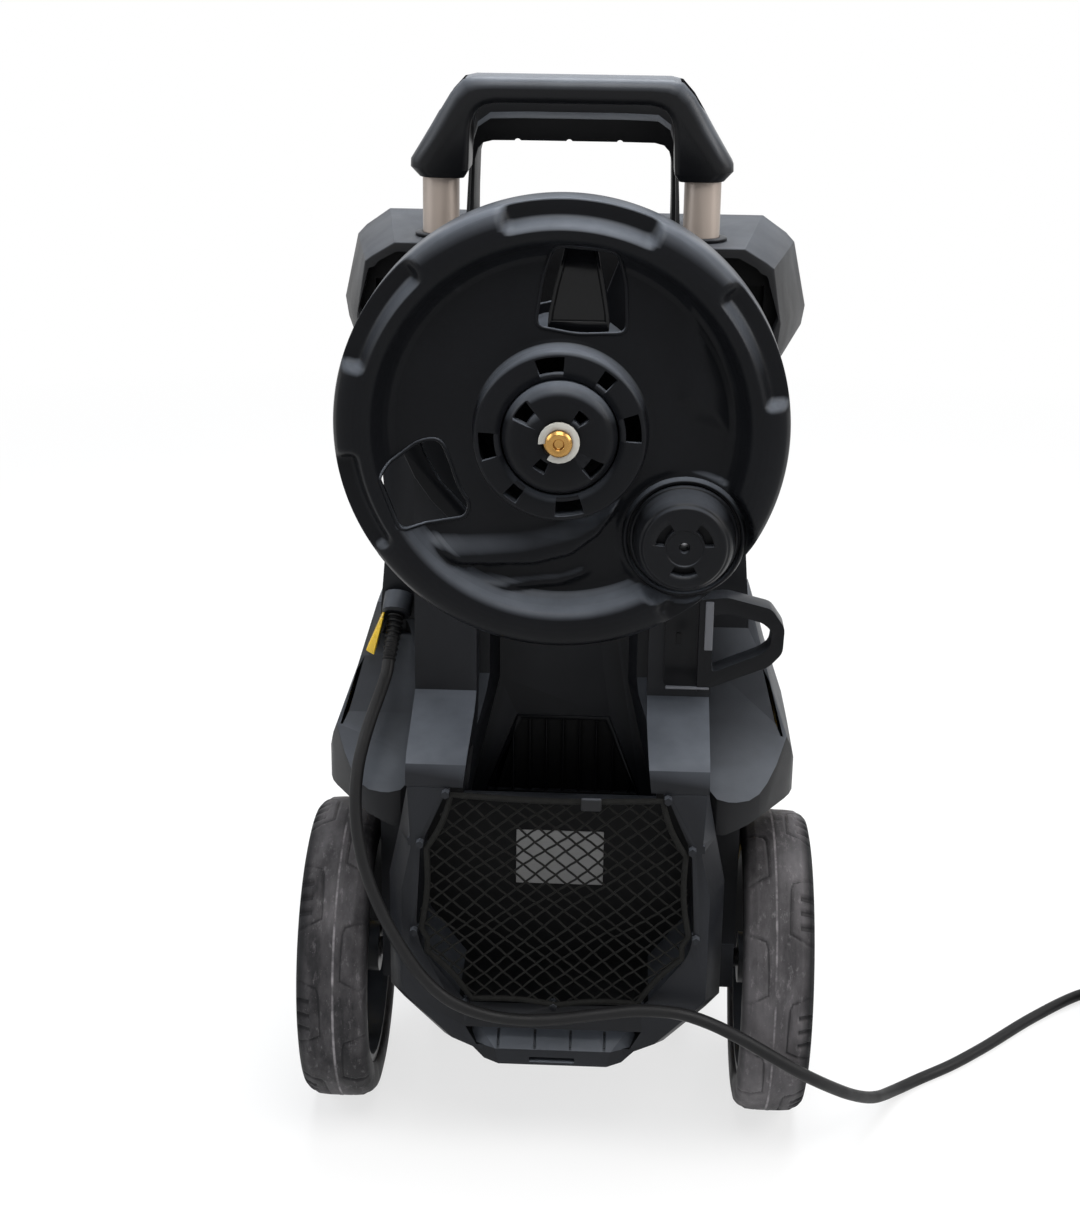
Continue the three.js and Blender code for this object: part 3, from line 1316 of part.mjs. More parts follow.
// Hook on the right pillar
function accessoryHook() {
  const rear = rearFaceY - seam - hookPlateThickness;
  const plate = prismY([[hookPlateInner, hookPlateLow], [pillarOuter, hookPlateLow],
    [pillarOuter, hookPlateTop], [hookPlateInner, hookPlateTop]], rear, rearFaceY - seam, wall / 2);
  const middle = (hookPlateTop + hookPlateLow) / 2;
  const rise = (hookPlateTop - hookPlateLow) / 2;
  const tip = hookReach;
  const outer = [[pillarOuter - hookBand, middle + rise], [pillarOuter + hookBand, middle + rise * 1.06],
    [tip - hookBand, middle + rise * 0.84], [tip, middle + rise * 0.44], [tip - seam * 2, middle - rise * 0.1],
    [tip - hookBand, middle - rise * 0.4], [pillarOuter - hookBand, middle - rise]];
  const inner = [[pillarOuter, middle + rise * 0.68], [pillarOuter + hookBand, middle + rise * 0.72],
    [tip - hookBand * 1.6, middle + rise * 0.54], [tip - hookBand * 0.9, middle + rise * 0.36],
    [tip - hookBand * 1.0, middle + rise * 0.02], [tip - hookBand * 1.7, middle - rise * 0.14],
    [pillarOuter, middle - rise * 0.56]];
  const loop = prismY(outer, hookRearY, rearFaceY - seam * 2, wall)
    .subtract(prismY(inner, hookRearY - overrun, rearFaceY + overrun, wall));
  const rail = block(pillarOuter - hookBand, pillarOuter, hookRearY, rearFaceY - seam * 2,
    hookPlateLow, hookPlateTop);
  return joined(plate, loop, rail);
}

// Pump set
function pumpHead() {
  const low = baseTop + seam;
  const half = pumpHeadHalf;
  let body = prismZ([[-half, pumpY - half], [half, pumpY - half], [half, pumpY + half],
    [-half, pumpY + half]], low, pumpHeadTop, wall * 3);
  for (const angle of pistonAngles()) {
    body = body.subtract(barZ(pistonOrbit * Math.cos(angle), pumpY + pistonOrbit * Math.sin(angle),
      pistonRadius + seam, pistonLow - seam, pumpHeadTop + overrun, 12));
  }
  return body;
}

function pistonAngles() {
  return [0, 1, 2].map((i) => Math.PI / 6 + (i * 2 * Math.PI) / 3);
}

function pumpCase() {
  const low = pumpHeadTop + seam;
  const inner = pumpCaseRadius - wall;
  let body = turnedZ([[0, low], [pumpCaseRadius, low], [pumpCaseRadius, pumpCaseTop],
    [inner, pumpCaseTop], [inner, low + wall], [0, low + wall]], 0, pumpY, 22);
  for (const angle of pistonAngles()) {
    body = body.subtract(barZ(pistonOrbit * Math.cos(angle), pumpY + pistonOrbit * Math.sin(angle),
      pistonRadius + seam, low - overrun, low + wall + overrun, 12));
  }
  return body;
}

// The swash plate leans, so each piston ends a running gap below its lower face there.
function swashDrop(y) {
  return ((y - pumpY) / swashRadius) * (swashRise / 2);
}

function pumpPiston(index) {
  const angle = pistonAngles()[index];
  const x = pistonOrbit * Math.cos(angle);
  const y = pumpY + pistonOrbit * Math.sin(angle);
  const top = swashTop - swashThickness - swashRise / 2 - wall;
  return barZ(x, y, pistonRadius, pistonLow, top, 12);
}

function motorRotor() {
  const shaft = barZ(0, pumpY, shaftRadius, swashTop - swashThickness - seam, shaftTop, 14);
  const core = barZ(0, pumpY, rotorRadius, rotorLow, rotorTop, 20);
  const plate = [];
  for (const z of [swashTop - swashThickness, swashTop]) {
    const ring = [];
    for (let i = 0; i < 20; i += 1) {
      const angle = (2 * Math.PI * i) / 20;
      const y = pumpY + swashRadius * Math.sin(angle);
      ring.push(new THREE.Vector3(swashRadius * Math.cos(angle), y, z + swashDrop(y)));
    }
    plate.push(ring);
  }
  const swash = loft(plate, (point) => new THREE.Vector2(point.x, point.y));
  const disc = barZ(0, pumpY, fanRadius, fanZ, fanZ + fanThickness, 24);
  let body = joined(shaft, core, swash, disc);
  for (let i = 0; i < fanBladeCount; i += 1) {
    const geometry = new THREE.BoxGeometry(fanRadius - shaftRadius * 2, fanThickness, fanBladeHeight);
    geometry.translate((fanRadius + shaftRadius) / 2, 0, fanZ + (fanThickness + fanBladeHeight) / 2);
    geometry.rotateZ((2 * Math.PI * i) / fanBladeCount).translate(0, pumpY, 0);
    body = body.add(solid(geometry));
  }
  return body;
}

function motorHousing() {
  const low = pumpCaseTop + seam;
  const inner = motorRadius - motorWall;
  return turnedZ([
    [shaftRadius + seam, low], [motorRadius, low], [motorRadius, motorTop], [inner, motorTop],
    [inner, low + motorWall], [shaftRadius + seam, low + motorWall],
  ], 0, pumpY, 24);
}

function motorEndBell() {
  const low = motorTop + seam;
  return turnedZ([
    [shaftRadius + seam, low], [motorRadius, low], [motorRadius - motorWall, low + motorWall],
    [shaftRadius + motorWall, low + motorWall * 2], [shaftRadius + seam, low + motorWall * 2],
  ], 0, pumpY, 24);
}

function motorStator() {
  const low = rotorLow - motorWall;
  const inner = rotorRadius + seam * 3;
  const outer = motorRadius - motorWall - seam;
  return turnedZ([[inner, low], [outer, low], [outer, rotorTop + motorWall], [inner, rotorTop + motorWall]],
    0, pumpY, 24);
}

function inletCoupling() {
  const pumpFace = pumpY + pumpHeadHalf;
  const end = coverFootY + inletLength / 2;
  const body = turnedY([
    [inletBore, pumpFace + seam], [inletRadius, pumpFace + seam], [inletRadius, coverFootY + seam],
    [inletFlangeRadius, coverFootY + seam], [inletFlangeRadius, coverFootY + wall * 2],
    [inletRadius, coverFootY + wall * 2], [inletRadius, end], [inletBore, end],
  ], inletX, inletZ, 16);
  const lug = block(pumpHeadHalf + seam, inletX, pumpFace - wall * 4, pumpFace, inletZ - inletRadius,
    inletZ + inletRadius);
  return body.add(lug.add(barY(inletX, inletZ, inletRadius, pumpFace - wall * 4, pumpFace + wall, 16)));
}

function outletElbow() {
  const x = -pumpHeadHalf - seam;
  const z = baseTop + (pumpHeadTop - baseTop) / 2;
  const foot = barX(pumpY, z, elbowRadius, linkHoseX, x, 12);
  const ball = barZ(linkHoseX, pumpY, elbowRadius, z - elbowRadius, z + elbowRadius * 2, 12);
  return foot.add(ball);
}

function linkHose() {
  const z = baseTop + (pumpHeadTop - baseTop) / 2 + elbowRadius * 2 + seam;
  const end = spindleRearY + seam;
  const points = [
    [linkHoseX, pumpY, z], [linkHoseX, pumpY, z + linkHoseRadius * 4], [linkHoseX, pumpY - wall * 2, motorTop],
    [linkHoseX * 0.9, pumpY - wall * 9, fanZ + fanRadius], [linkHoseX * 0.5, end + linkHoseRadius * 5, reelZ - wall * 4],
    [linkHoseX * 0.12, end + linkHoseRadius * 3, reelZ], [0, end + linkHoseRadius, reelZ], [0, end, reelZ],
  ].map(([x, y, height]) => new THREE.Vector3(x, y, height));
  return tubeAlong(points, linkHoseRadius, 7, 20);
}

// Cord
function strainRelief() {
  const length = reliefEnd.distanceTo(reliefStart);
  const profile = [[0, 0]];
  const pitch = length / reliefRibCount;
  for (let i = 0; i < reliefRibCount; i += 1) {
    const radius = reliefRadius + ((reliefTipRadius - reliefRadius) * i) / (reliefRibCount - 1);
    const groove = radius - wall / 4;
    profile.push([radius, i * pitch], [radius, (i + 0.6) * pitch]);
    profile.push([groove, (i + 0.66) * pitch], [groove, (i + 0.94) * pitch]);
  }
  profile.push([reliefTipRadius - wall / 4, length], [0, length]);
  return turnedAlong(profile, reliefStart, reliefEnd, 10);
}

// Where the cord hangs and lies, chosen by hand, up to the coil.
const leadRoute = [
  [-113.2, -44, 301], [-119, -58.5, 284.5], [-123.7, -72, 264.3], [-124.6, -82.5, 244],
  [-122, -90.5, 221.8], [-115.5, -96, 197.6], [-105.8, -99, 174], [-94.2, -100, 151.8],
  [-80.4, -100, 131.2], [-63.8, -99.5, 116.2], [-42.8, -98.6, 107.2], [-20.7, -98.2, 104],
  [4.6, -98.2, 105.6], [29.7, -98.4, 110], [54.8, -99, 114], [79.8, -101.5, 114.2],
  [98.6, -105.3, 110.2], [117.5, -108.8, 102.6], [136.8, -110.6, 92], [156.5, -107.8, 78.6],
  [177.5, -93, 60], [197, -68, 38.5], [215, -38, 19], [232, -10, 7.5], [251, 10, 4.3],
  [275, 29, 4.2], [301.5, 54, 4.2], [344, 98, 4.2], [384, 133, 4.2], [410, 147, 4.2],
];

function coilPoint(turn) {
  const layer = Math.min(coilLayers - 1, Math.floor(turn / coilTurnsPerLayer));
  const into = turn - layer * coilTurnsPerLayer;
  const drawnIn = layer % 2 === 0 ? into : coilTurnsPerLayer - into;
  const radius = coilRadius - coilPitch * drawnIn;
  let level = 0;
  for (let i = 1; i < coilLayers; i += 1) {
    level += THREE.MathUtils.clamp((turn - i * coilTurnsPerLayer) * 2 + 0.5, 0, 1);
  }
  const angle = coilStartAngle - turn * 2 * Math.PI;
  return new THREE.Vector3(coilX + radius * Math.cos(angle), coilY + radius * Math.sin(angle),
    cordRadius + floorGap + coilPitch * level);
}

// The coil's centre line, with a straight stretch of one diameter at each end.
function coilLine() {
  const turns = coilLayers * coilTurnsPerLayer;
  const steps = turns * coilStepsPerTurn;
  const points = [];
  for (let i = 0; i <= steps; i += 1) points.push(coilPoint((turns * i) / steps));
  const lead = points[0].clone().sub(points[1]).setZ(0).setLength(cordRadius * 2);
  const tail = points[steps].clone().sub(points[steps - 1]).setZ(0).setLength(cordRadius * 2);
  points.unshift(points[0].clone().add(lead));
  points.push(points[points.length - 1].clone().add(tail));
  return points;
}

// Rings of six points, square to the line, joined into one closed tube.
function coilTube(line) {
  const up = new THREE.Vector3(0, 0, 1);
  const rings = line.map((point, i) => {
    const ahead = line[Math.min(i + 1, line.length - 1)].clone().sub(line[Math.max(i - 1, 0)]);
    const sideways = ahead.clone().cross(up).normalize();
    const above = sideways.clone().cross(ahead).normalize();
    const ring = [];
    for (let k = 0; k < coilSides; k += 1) {
      const angle = (2 * Math.PI * (k + 0.5)) / coilSides;
      ring.push(point.clone().addScaledVector(sideways, cordRadius * Math.cos(angle))
        .addScaledVector(above, cordRadius * Math.sin(angle)));
    }
    return ring;
  });
  const flatten = (point, i) => {
    const angle = (2 * Math.PI * (i + 0.5)) / coilSides;
    return new THREE.Vector2(Math.cos(angle), Math.sin(angle));
  };
  return loft(rings, flatten);
}

// The least gap between turns, measured on points of the centre line.
function coilGap(line) {
  let least = Infinity;
  const apart = coilStepsPerTurn / 2;
  for (let i = 0; i < line.length; i += 1) {
    for (let k = i + apart; k < line.length; k += 1) {
      least = Math.min(least, line[i].distanceTo(line[k]));
    }
  }
  return least - cordRadius * 2;
}

function cordLead() {
  const direction = reliefEnd.clone().sub(reliefStart).normalize();
  const start = reliefEnd.clone().addScaledVector(direction, seam);
  const line = coilLine();
  const entry = line[0].clone().sub(line[1]).normalize();
  const end = line[0].clone().addScaledVector(entry, seam);
  const points = [start, start.clone().addScaledVector(direction, cordRadius * 2),
    ...leadRoute.map(([x, y, z]) => new THREE.Vector3(x, y, z)),
    end.clone().addScaledVector(entry, cordRadius * 2), end];
  return tubeAlong(points, cordRadius, cordSides, 64);
}

// The last stretch comes down beside the coil to the plug.
const tailRoute = [[472.5, 172.7, 28.5], [502, 179, 25], [528, 174, 21.5], [546, 160, 18.9]];

function plugStart() {
  const [x, y] = tailRoute[tailRoute.length - 1];
  return new THREE.Vector3(x + cordRadius * 2, y - cordRadius * 7, plugRadius + floorGap);
}

function cordTail() {
  const line = coilLine();
  const last = line[line.length - 1];
  const exit = last.clone().sub(line[line.length - 2]).normalize();
  const start = last.clone().addScaledVector(exit, seam);
  const end = plugStart().add(new THREE.Vector3(0, seam, 0));
  const points = [start, start.clone().addScaledVector(exit, cordRadius * 2),
    ...tailRoute.map(([x, y, z]) => new THREE.Vector3(x, y, z)),
    end.clone().add(new THREE.Vector3(0, cordRadius * 2, 0)), end];
  return tubeAlong(points, cordRadius, cordSides, 14);
}

// Strap round the bundle of turns at one place.
function cordTie() {
  const inner = coilRadius - coilPitch * coilTurnsPerLayer - cordRadius - tieClearance - coilPitch / 2;
  const outer = coilRadius + cordRadius + tieClearance;
  const low = floorGap / 2;
  const high = cordRadius * 2 + coilPitch * (coilLayers - 1) + tieClearance * 2;
  const ring = [[inner - tieThickness, low - floorGap / 2], [outer + tieThickness, low - floorGap / 2],
    [outer + tieThickness, high + tieThickness], [inner - tieThickness, high + tieThickness]];
  const hole = [[inner, low], [outer, low], [outer, high], [inner, high]];
  const half = tieWidth / 2;
  const shape = outline(ring);
  shape.holes.push(new THREE.Path(hole.map(([x, z]) => new THREE.Vector2(x, z))));
  const geometry = extruded(shape, tieWidth).rotateX(Math.PI / 2).translate(0, half, 0);
  return solid(geometry.rotateZ(tieAngle).translate(coilX, coilY, 0));
}

function mainsPlug() {
  const start = plugStart();
  const collarEnd = plugCollarLength;
  const end = collarEnd + plugLength;
  const along = new THREE.Vector3(0, -1, 0);
  let body = turnedAlong([
    [0, 0], [cordRadius + tieThickness, 0], [plugCollarRadius, collarEnd], [plugRadius - wall, collarEnd + wall],
    [plugRadius - seam, collarEnd + wall * 3], [plugRadius - seam, end - wall / 2], [plugRadius - wall / 2, end],
    [0, end]], start, start.clone().add(along), 18);
  for (const side of [1, -1]) {
    body = body.add(turnedAlong([[0, end - wall], [plugPinRadius, end - wall],
      [plugPinRadius, end + plugPinLength - plugPinRadius],
      [plugPinRadius / 2, end + plugPinLength], [0, end + plugPinLength]],
    start.clone().setX(start.x + (side * plugPinSpacing) / 2),
    start.clone().setX(start.x + (side * plugPinSpacing) / 2).add(along), 10));
  }
  return body;
}

console.log("least gap between the coil's turns, mm:", coilGap(coilLine()).toFixed(2));

const chassis = new THREE.Group();
chassis.add(
  node("base_tray", baseTray(), blackPlastic),
  node("front_foot_left", rubberFoot(-1), rubber),
  node("front_foot_right", rubberFoot(1), rubber),
  node("axle", axle(), steel),
  node("net_tub", netTub(), greyPlastic),
  node("accessory_net", accessoryNet(), netCord),
  node("rear_shell", rearShell(), greyPlastic),
  node("grille", grille(), blackPlastic),
  node("shoulder_block", shoulderBlock(), greyPlastic),
  node("guide_sleeve_left", guideSleeve(-1), blackPlastic),
  node("guide_sleeve_right", guideSleeve(1), blackPlastic),
  node("carry_handle", carryHandle(), greyPlastic),
  node("front_cover", frontCover(), yellowPlastic),
  node("fender_left", fender(-1), greyPlastic),
  node("fender_right", fender(1), greyPlastic),
  node("reel_carrier", reelCarrier(), blackPlastic),
  node("reel_spindle", reelSpindle(), brass),
  node("retaining_clip", retainingClip(), clipPlastic),
  node("accessory_hook", accessoryHook(), blackPlastic),
  node("pump_head", pumpHead(), steel),
  node("pump_case", pumpCase(), steel),
  node("pump_piston_1", pumpPiston(0), steel),
  node("pump_piston_2", pumpPiston(1), steel),
  node("pump_piston_3", pumpPiston(2), steel),
  node("motor_housing", motorHousing(), steel),
  node("motor_end_bell", motorEndBell(), steel),
  node("motor_stator", motorStator(), steel),
  node("switch_housing", switchHousing(), blackPlastic),
  node("inlet_coupling", inletCoupling(), blackPlastic),
  node("outlet_elbow", outletElbow(), steel),
  node("link_hose", linkHose(), rubber),
  node("strain_relief", strainRelief(), rubber),
);

const handle = new THREE.Group();
handle.add(
  node("handle_grip", handleGrip(), blackPlastic),
  node("handle_tube_left", handleTube(-1), paintedTube),
  node("handle_tube_right", handleTube(1), paintedTube),
);

const reel = new THREE.Group();
reel.add(
  node("reel_front_flange", reelFrontFlange(), reelPlastic),
  node("reel_hub_cap", reelHubCap(), reelPlastic),
  node("reel_drum", reelDrum(), reelPlastic),
  node("reel_rear_flange", reelRearFlange(), reelPlastic),
  node("hose_guide", hoseGuide(), reelPlastic),
  node("crank_knob", crankKnob(), reelPlastic),
);

const wheels = new THREE.Group();
for (const [name, side] of [["left", -1], ["right", 1]]) {
  wheels.add(
    node(`tyre_${name}`, tyre(side), rubber),
    node(`rim_${name}`, rim(side), blackPlastic),
    node(`wheel_cap_${name}`, wheelCap(side), blackPlastic),
  );
}

const turning = new THREE.Group();
turning.add(
  node("motor_rotor", motorRotor(), steel),
  node("power_switch_knob", powerSwitchKnob(), blackPlastic),
);

const cord = new THREE.Group();
cord.add(
  node("cord_lead", cordLead(), rubber),
  node("cord_coil", coilTube(coilLine()), rubber),
  node("cord_tail", cordTail(), rubber),
  node("cord_tie", cordTie(), rubber),
  node("mains_plug", mainsPlug(), rubber),
);

const machine = new THREE.Group();
machine.add(chassis, handle, reel, wheels, turning, cord);
machine.position.y = -(spindleFrontY + baseNoseY) / 2;

export default machine;
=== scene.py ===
"""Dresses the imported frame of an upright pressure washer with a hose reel, seen from its reel side."""
import math

import bmesh
import bpy
import numpy as np
from mathutils import Matrix, Vector


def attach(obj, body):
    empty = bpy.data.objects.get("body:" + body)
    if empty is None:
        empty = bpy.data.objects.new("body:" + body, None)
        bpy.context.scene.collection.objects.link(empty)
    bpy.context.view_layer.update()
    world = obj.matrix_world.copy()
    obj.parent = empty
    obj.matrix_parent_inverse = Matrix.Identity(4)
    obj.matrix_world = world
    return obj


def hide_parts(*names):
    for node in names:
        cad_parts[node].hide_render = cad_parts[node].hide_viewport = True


bl_info = {
    "name": "Hose Reel Pressure Washer",
    "version": (1, 0, 0),
    "blender": (4, 5, 0),
    "location": "3D View > Sidebar > Washer",
    "description": "Builds the visible pieces of an upright pressure washer over its packed frame",
    "category": "Add Mesh",
}

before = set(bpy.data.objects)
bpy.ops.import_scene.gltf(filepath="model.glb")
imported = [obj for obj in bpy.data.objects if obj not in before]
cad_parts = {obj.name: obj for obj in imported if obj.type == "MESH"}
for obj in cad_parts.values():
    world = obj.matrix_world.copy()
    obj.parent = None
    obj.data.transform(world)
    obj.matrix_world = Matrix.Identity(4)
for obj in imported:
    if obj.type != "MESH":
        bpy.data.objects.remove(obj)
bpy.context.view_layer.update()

# Depths are counted from the wheel axle, in millimetres, and the frame's origin lies this far in front of it.
AXLE_SHIFT = -74.0
REEL_Z = 493.5
KNOB = (70.6, 432.5)
TUBE = (78.0, 5.0)
WHEEL_RADIUS, WHEEL_OUTER, WHEEL_INNER = 100.0, 164.0, 119.0
MOULD_LINE = 0.1395  # in metres from the middle plane
DUST_AND_SKY_SHEEN = (0.25, 0.275, 0.32)  # pale bluish film on faces that look up: partly dust, partly a painted sheen of the bright sky
FOCAL_PIXELS, FRAME_HEIGHT = 2061, 1231
FLOOR_HALF = 30.0


def point(x, depth, z):
    """A place given in millimetres from the axle line, in the frame's metres."""
    return Vector((x, depth + AXLE_SHIFT, z)) / 1000


# ---------------------------------------------------------------- sizes and colours


def measure(name, description, default, least):
    return bpy.props.FloatProperty(name=name, description=description, default=default, unit="LENGTH", min=least)


def paint(name, description, default):
    return bpy.props.FloatVectorProperty(
        name=name, description=description, subtype="COLOR", size=3, default=default, min=0, max=1)


class WasherSizes(bpy.types.PropertyGroup):
    """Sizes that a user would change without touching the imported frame."""

    edge_round: measure("Edge round", "Radius of the moulded parts' edges", 0.0011, 0.0001)
    cord_diameter: measure("Cord diameter", "Outside diameter of the power cord", 0.008, 0.004)
    net_cell: measure("Net cell", "Width of one diamond of the net", 0.0108, 0.005)
    net_strand: measure("Net strand", "Radius of one strand of the net", 0.00075, 0.0002)
    net_border: measure("Net border", "Radius of the cord round the net", 0.0019, 0.0005)
    tread_depth: measure("Tread depth", "Depth of the tyre's tread pockets", 0.0015, 0.0)
    blade_height: measure("Blade height", "How far the reel disc's blades stand out", 0.0075, 0.0)
    finger_depth: measure("Finger depth", "Depth of the rim's finger recesses", 0.0052, 0.0)
    rib_count: bpy.props.IntProperty(
        name="Relief ribs", description="Number of ribs on the cord's strain relief", default=9, min=2, max=20)


class WasherColours(bpy.types.PropertyGroup):
    """Base colours of the finishes."""

    shell: paint("Shell", "Body shells", (0.0095, 0.0102, 0.0122))
    head: paint("Head", "Head, fenders and carry handle", (0.013, 0.0133, 0.0145))
    reel: paint("Reel", "Hose reel", (0.0058, 0.0062, 0.0074))
    black: paint("Black parts", "Handle grip, hook and grille", (0.0045, 0.0048, 0.0058))
    yellow: paint("Cover", "Front cover", (0.82, 0.53, 0.02))
    tyre: paint("Tyre", "Tyres", (0.0075, 0.0075, 0.0085))
    dust: paint("Dust", "Dust on the tyres", (0.25, 0.235, 0.245))
    net: paint("Net", "Net and its border", (0.006, 0.006, 0.0055))
    tube: paint("Tubes", "Handle tubes", (0.32, 0.27, 0.235))
    brass: paint("Brass", "Spindle", (0.4, 0.225, 0.07))
    clip: paint("Clip", "Retaining clip", (0.42, 0.41, 0.375))
    plate: paint("Plate", "Bare plate behind the net", (0.19, 0.19, 0.19))


def sizes():
    return bpy.context.scene.washer_sizes


def colours():
    return bpy.context.scene.washer_colours


# ---------------------------------------------------------------- finishes


class Finish:
    """A node material under construction, with short calls for the nodes that the finishes share."""

    def __init__(self, name):
        self.material = bpy.data.materials.new(name)
        self.material.use_nodes = True
        self.nodes = self.material.node_tree.nodes
        self.links = self.material.node_tree.links
        self.shader = self.nodes["Principled BSDF"]
        self.place = self.nodes.new("ShaderNodeTexCoord").outputs["Object"]

    def link(self, source, target):
        self.links.new(source, target)

    def noise(self, scale, detail=3.0, roughness=0.55, place=None):
        node = self.nodes.new("ShaderNodeTexNoise")
        node.inputs["Scale"].default_value = scale
        node.inputs["Detail"].default_value = detail
        node.inputs["Roughness"].default_value = roughness
        self.link(place or self.place, node.inputs["Vector"])
        return node.outputs["Fac"]

    def spread(self, value, low, high, to_low, to_high):
        node = self.nodes.new("ShaderNodeMapRange")
        node.inputs["From Min"].default_value = low
        node.inputs["From Max"].default_value = high
        node.inputs["To Min"].default_value = to_low
        node.inputs["To Max"].default_value = to_high
        self.link(value, node.inputs["Value"])
        return node.outputs["Result"]

    def maths(self, operation, first, second):
        node = self.nodes.new("ShaderNodeMath")
        node.operation = operation
        for socket, value in zip(node.inputs, (first, second)):
            if isinstance(value, (int, float)):
                socket.default_value = value
            else:
                self.link(value, socket)
        return node.outputs["Value"]

    def mixed(self, factor, first, second):
        node = self.nodes.new("ShaderNodeMix")
        node.data_type = "RGBA"
        self.link(factor, node.inputs["Factor"])
        for socket, value in ((node.inputs["A"], first), (node.inputs["B"], second)):
            if isinstance(value, (tuple, list)):
                socket.default_value = (*value[:3], 1)
            else:
                self.link(value, socket)
        return node.outputs["Result"]

    def bump(self, height, distance, strength=1.0, under=None):
        node = self.nodes.new("ShaderNodeBump")
        node.inputs["Distance"].default_value = distance
        node.inputs["Strength"].default_value = strength
        self.link(height, node.inputs["Height"])
        if under is not None:
            self.link(under, node.inputs["Normal"])
        return node.outputs["Normal"]

    def facing_up(self):
        geometry = self.nodes.new("ShaderNodeNewGeometry")
        axes = self.nodes.new("ShaderNodeSeparateXYZ")
        self.link(geometry.outputs["Normal"], axes.inputs["Vector"])
        return axes.outputs["Z"]

    def stretched(self, scale):
        """Places along the piece, drawn out by a scale for each axis."""
        node = self.nodes.new("ShaderNodeMapping")
        node.inputs["Scale"].default_value = scale
        self.link(self.place, node.inputs["Vector"])
        return node.outputs["Vector"]

    def pointed(self, low, high, to_low, to_high):
        """Hollows at the low end and sharp edges at the high end."""
        geometry = self.nodes.new("ShaderNodeNewGeometry")
        return self.spread(geometry.outputs["Pointiness"], low, high, to_low, to_high)

    def set(self, socket, value):
        target = self.shader.inputs[socket]
        if isinstance(value, (int, float, tuple)):
            target.default_value = value
        else:
            self.link(value, target)


def shade(colour, factor):
    return tuple(min(1.0, channel * factor) for channel in colour)


def moulded_plastic(name, colour, rough=0.45, grain=0.00012, dust=0.10, wear=0.22, shine=0.14, slope=0.12):
    """Injection-moulded plastic: fine grain, uneven sheen, a pale film on faces that look up that is partly dust and
    partly a painted sky sheen, paler worn edges.
    """
    finish = Finish(name)
    patches = finish.spread(finish.noise(14, 4), 0.3, 0.7, 0.0, 1.0)
    base = finish.mixed(patches, shade(colour, 0.86), shade(colour, 1.16))
    # Faces that look up take the pale film: some dust, and also a painted highlight where the sky would reflect.
    settled = finish.maths("MULTIPLY", finish.spread(finish.facing_up(), slope, 0.95, 0.0, dust),
                           finish.spread(finish.noise(45, 5), 0.25, 0.7, 0.7, 1.0))
    dust_and_sheen = finish.mixed(settled, base, DUST_AND_SKY_SHEEN)
    worn = finish.maths("MULTIPLY", finish.pointed(0.52, 0.6, 0.0, 1.0), wear)
    finish.set("Base Color", finish.mixed(worn, dust_and_sheen, shade(colour, 3.0)))
    finish.set("Roughness", finish.spread(finish.noise(32, 4), 0.2, 0.8, rough - 0.06, rough + 0.08))
    fine = finish.bump(finish.noise(1500, 2, 0.7), grain, 0.5)
    finish.set("Normal", finish.bump(finish.noise(60, 2), 0.00008, 0.3, fine))
    finish.set("Specular IOR Level", shine)
    return finish.material


def polished_plastic(name, colour, rough=0.12, shine=0.22):
    finish = Finish(name)
    patches = finish.spread(finish.noise(20, 3), 0.3, 0.7, 0.0, 1.0)
    finish.set("Base Color", finish.mixed(patches, shade(colour, 0.9), shade(colour, 1.1)))
    finish.set("Roughness", finish.spread(finish.noise(90, 4), 0.3, 0.8, rough, rough + 0.1))
    finish.set("Normal", finish.bump(finish.noise(30, 2), 0.0001, 0.25))
    finish.set("Specular IOR Level", shine)
    finish.set("Coat Weight", 0.1)
    finish.set("Coat Roughness", 0.08)
    return finish.material


def dusty_tyre(name, colour, dust):
    """Black tread under a thin even film of dust, with fine specks, scuffs and a pale mould line."""
    finish = Finish(name)
    along = finish.stretched((1.0, 0.4, 0.4))
    film = finish.spread(finish.noise(22, 6, 0.65, along), 0.36, 0.68, 0.04, 0.46)
    scuffs = finish.spread(finish.noise(260, 5, 0.75, along), 0.56, 0.74, 0.0, 0.35)
    specks = finish.spread(finish.noise(900, 2, 0.8), 0.68, 0.76, 0.0, 0.6)
    axes = finish.nodes.new("ShaderNodeSeparateXYZ")
    finish.link(finish.place, axes.inputs["Vector"])
    from_middle = finish.maths("ABSOLUTE", axes.outputs["X"], 0.0)
    off = finish.maths("ABSOLUTE", finish.maths("SUBTRACT", from_middle, MOULD_LINE), 0.0)
    line = finish.maths("MULTIPLY", finish.spread(off, 0.0004, 0.0011, 1.0, 0.0),
                        finish.spread(finish.noise(60, 4, 0.7), 0.38, 0.62, 0.25, 0.9))
    tread = finish.spread(off, 0.0165, 0.0215, 1.0, 0.03)
    tread = finish.maths("MULTIPLY", tread, finish.pointed(0.44, 0.492, 0.05, 1.0))
    dirt = finish.maths("MAXIMUM", finish.maths("ADD", film, scuffs), finish.maths("MAXIMUM", specks, line))
    base = finish.mixed(finish.noise(9, 3), shade(colour, 0.8), shade(colour, 1.4))
    finish.set("Base Color", finish.mixed(finish.maths("MULTIPLY", dirt, tread), base, tuple(dust)))
    finish.set("Roughness", finish.spread(finish.noise(60, 3), 0.3, 0.7, 0.5, 0.72))
    finish.set("Specular IOR Level", 0.12)
    fine = finish.bump(finish.noise(900, 3, 0.7), 0.00025, 0.5)
    finish.set("Normal", finish.bump(finish.noise(120, 4), 0.0003, 0.4, fine))
    return finish.material


def soft_rubber(name, colour, rough=0.5):
    finish = Finish(name)
    finish.set("Base Color", finish.mixed(finish.noise(40, 4), shade(colour, 0.75), shade(colour, 1.4)))
    finish.set("Roughness", finish.spread(finish.noise(70, 3), 0.3, 0.7, rough - 0.06, rough + 0.1))
    finish.set("Normal", finish.bump(finish.noise(1100, 2), 0.0001, 0.4))
    finish.set("Specular IOR Level", 0.2)
    return finish.material


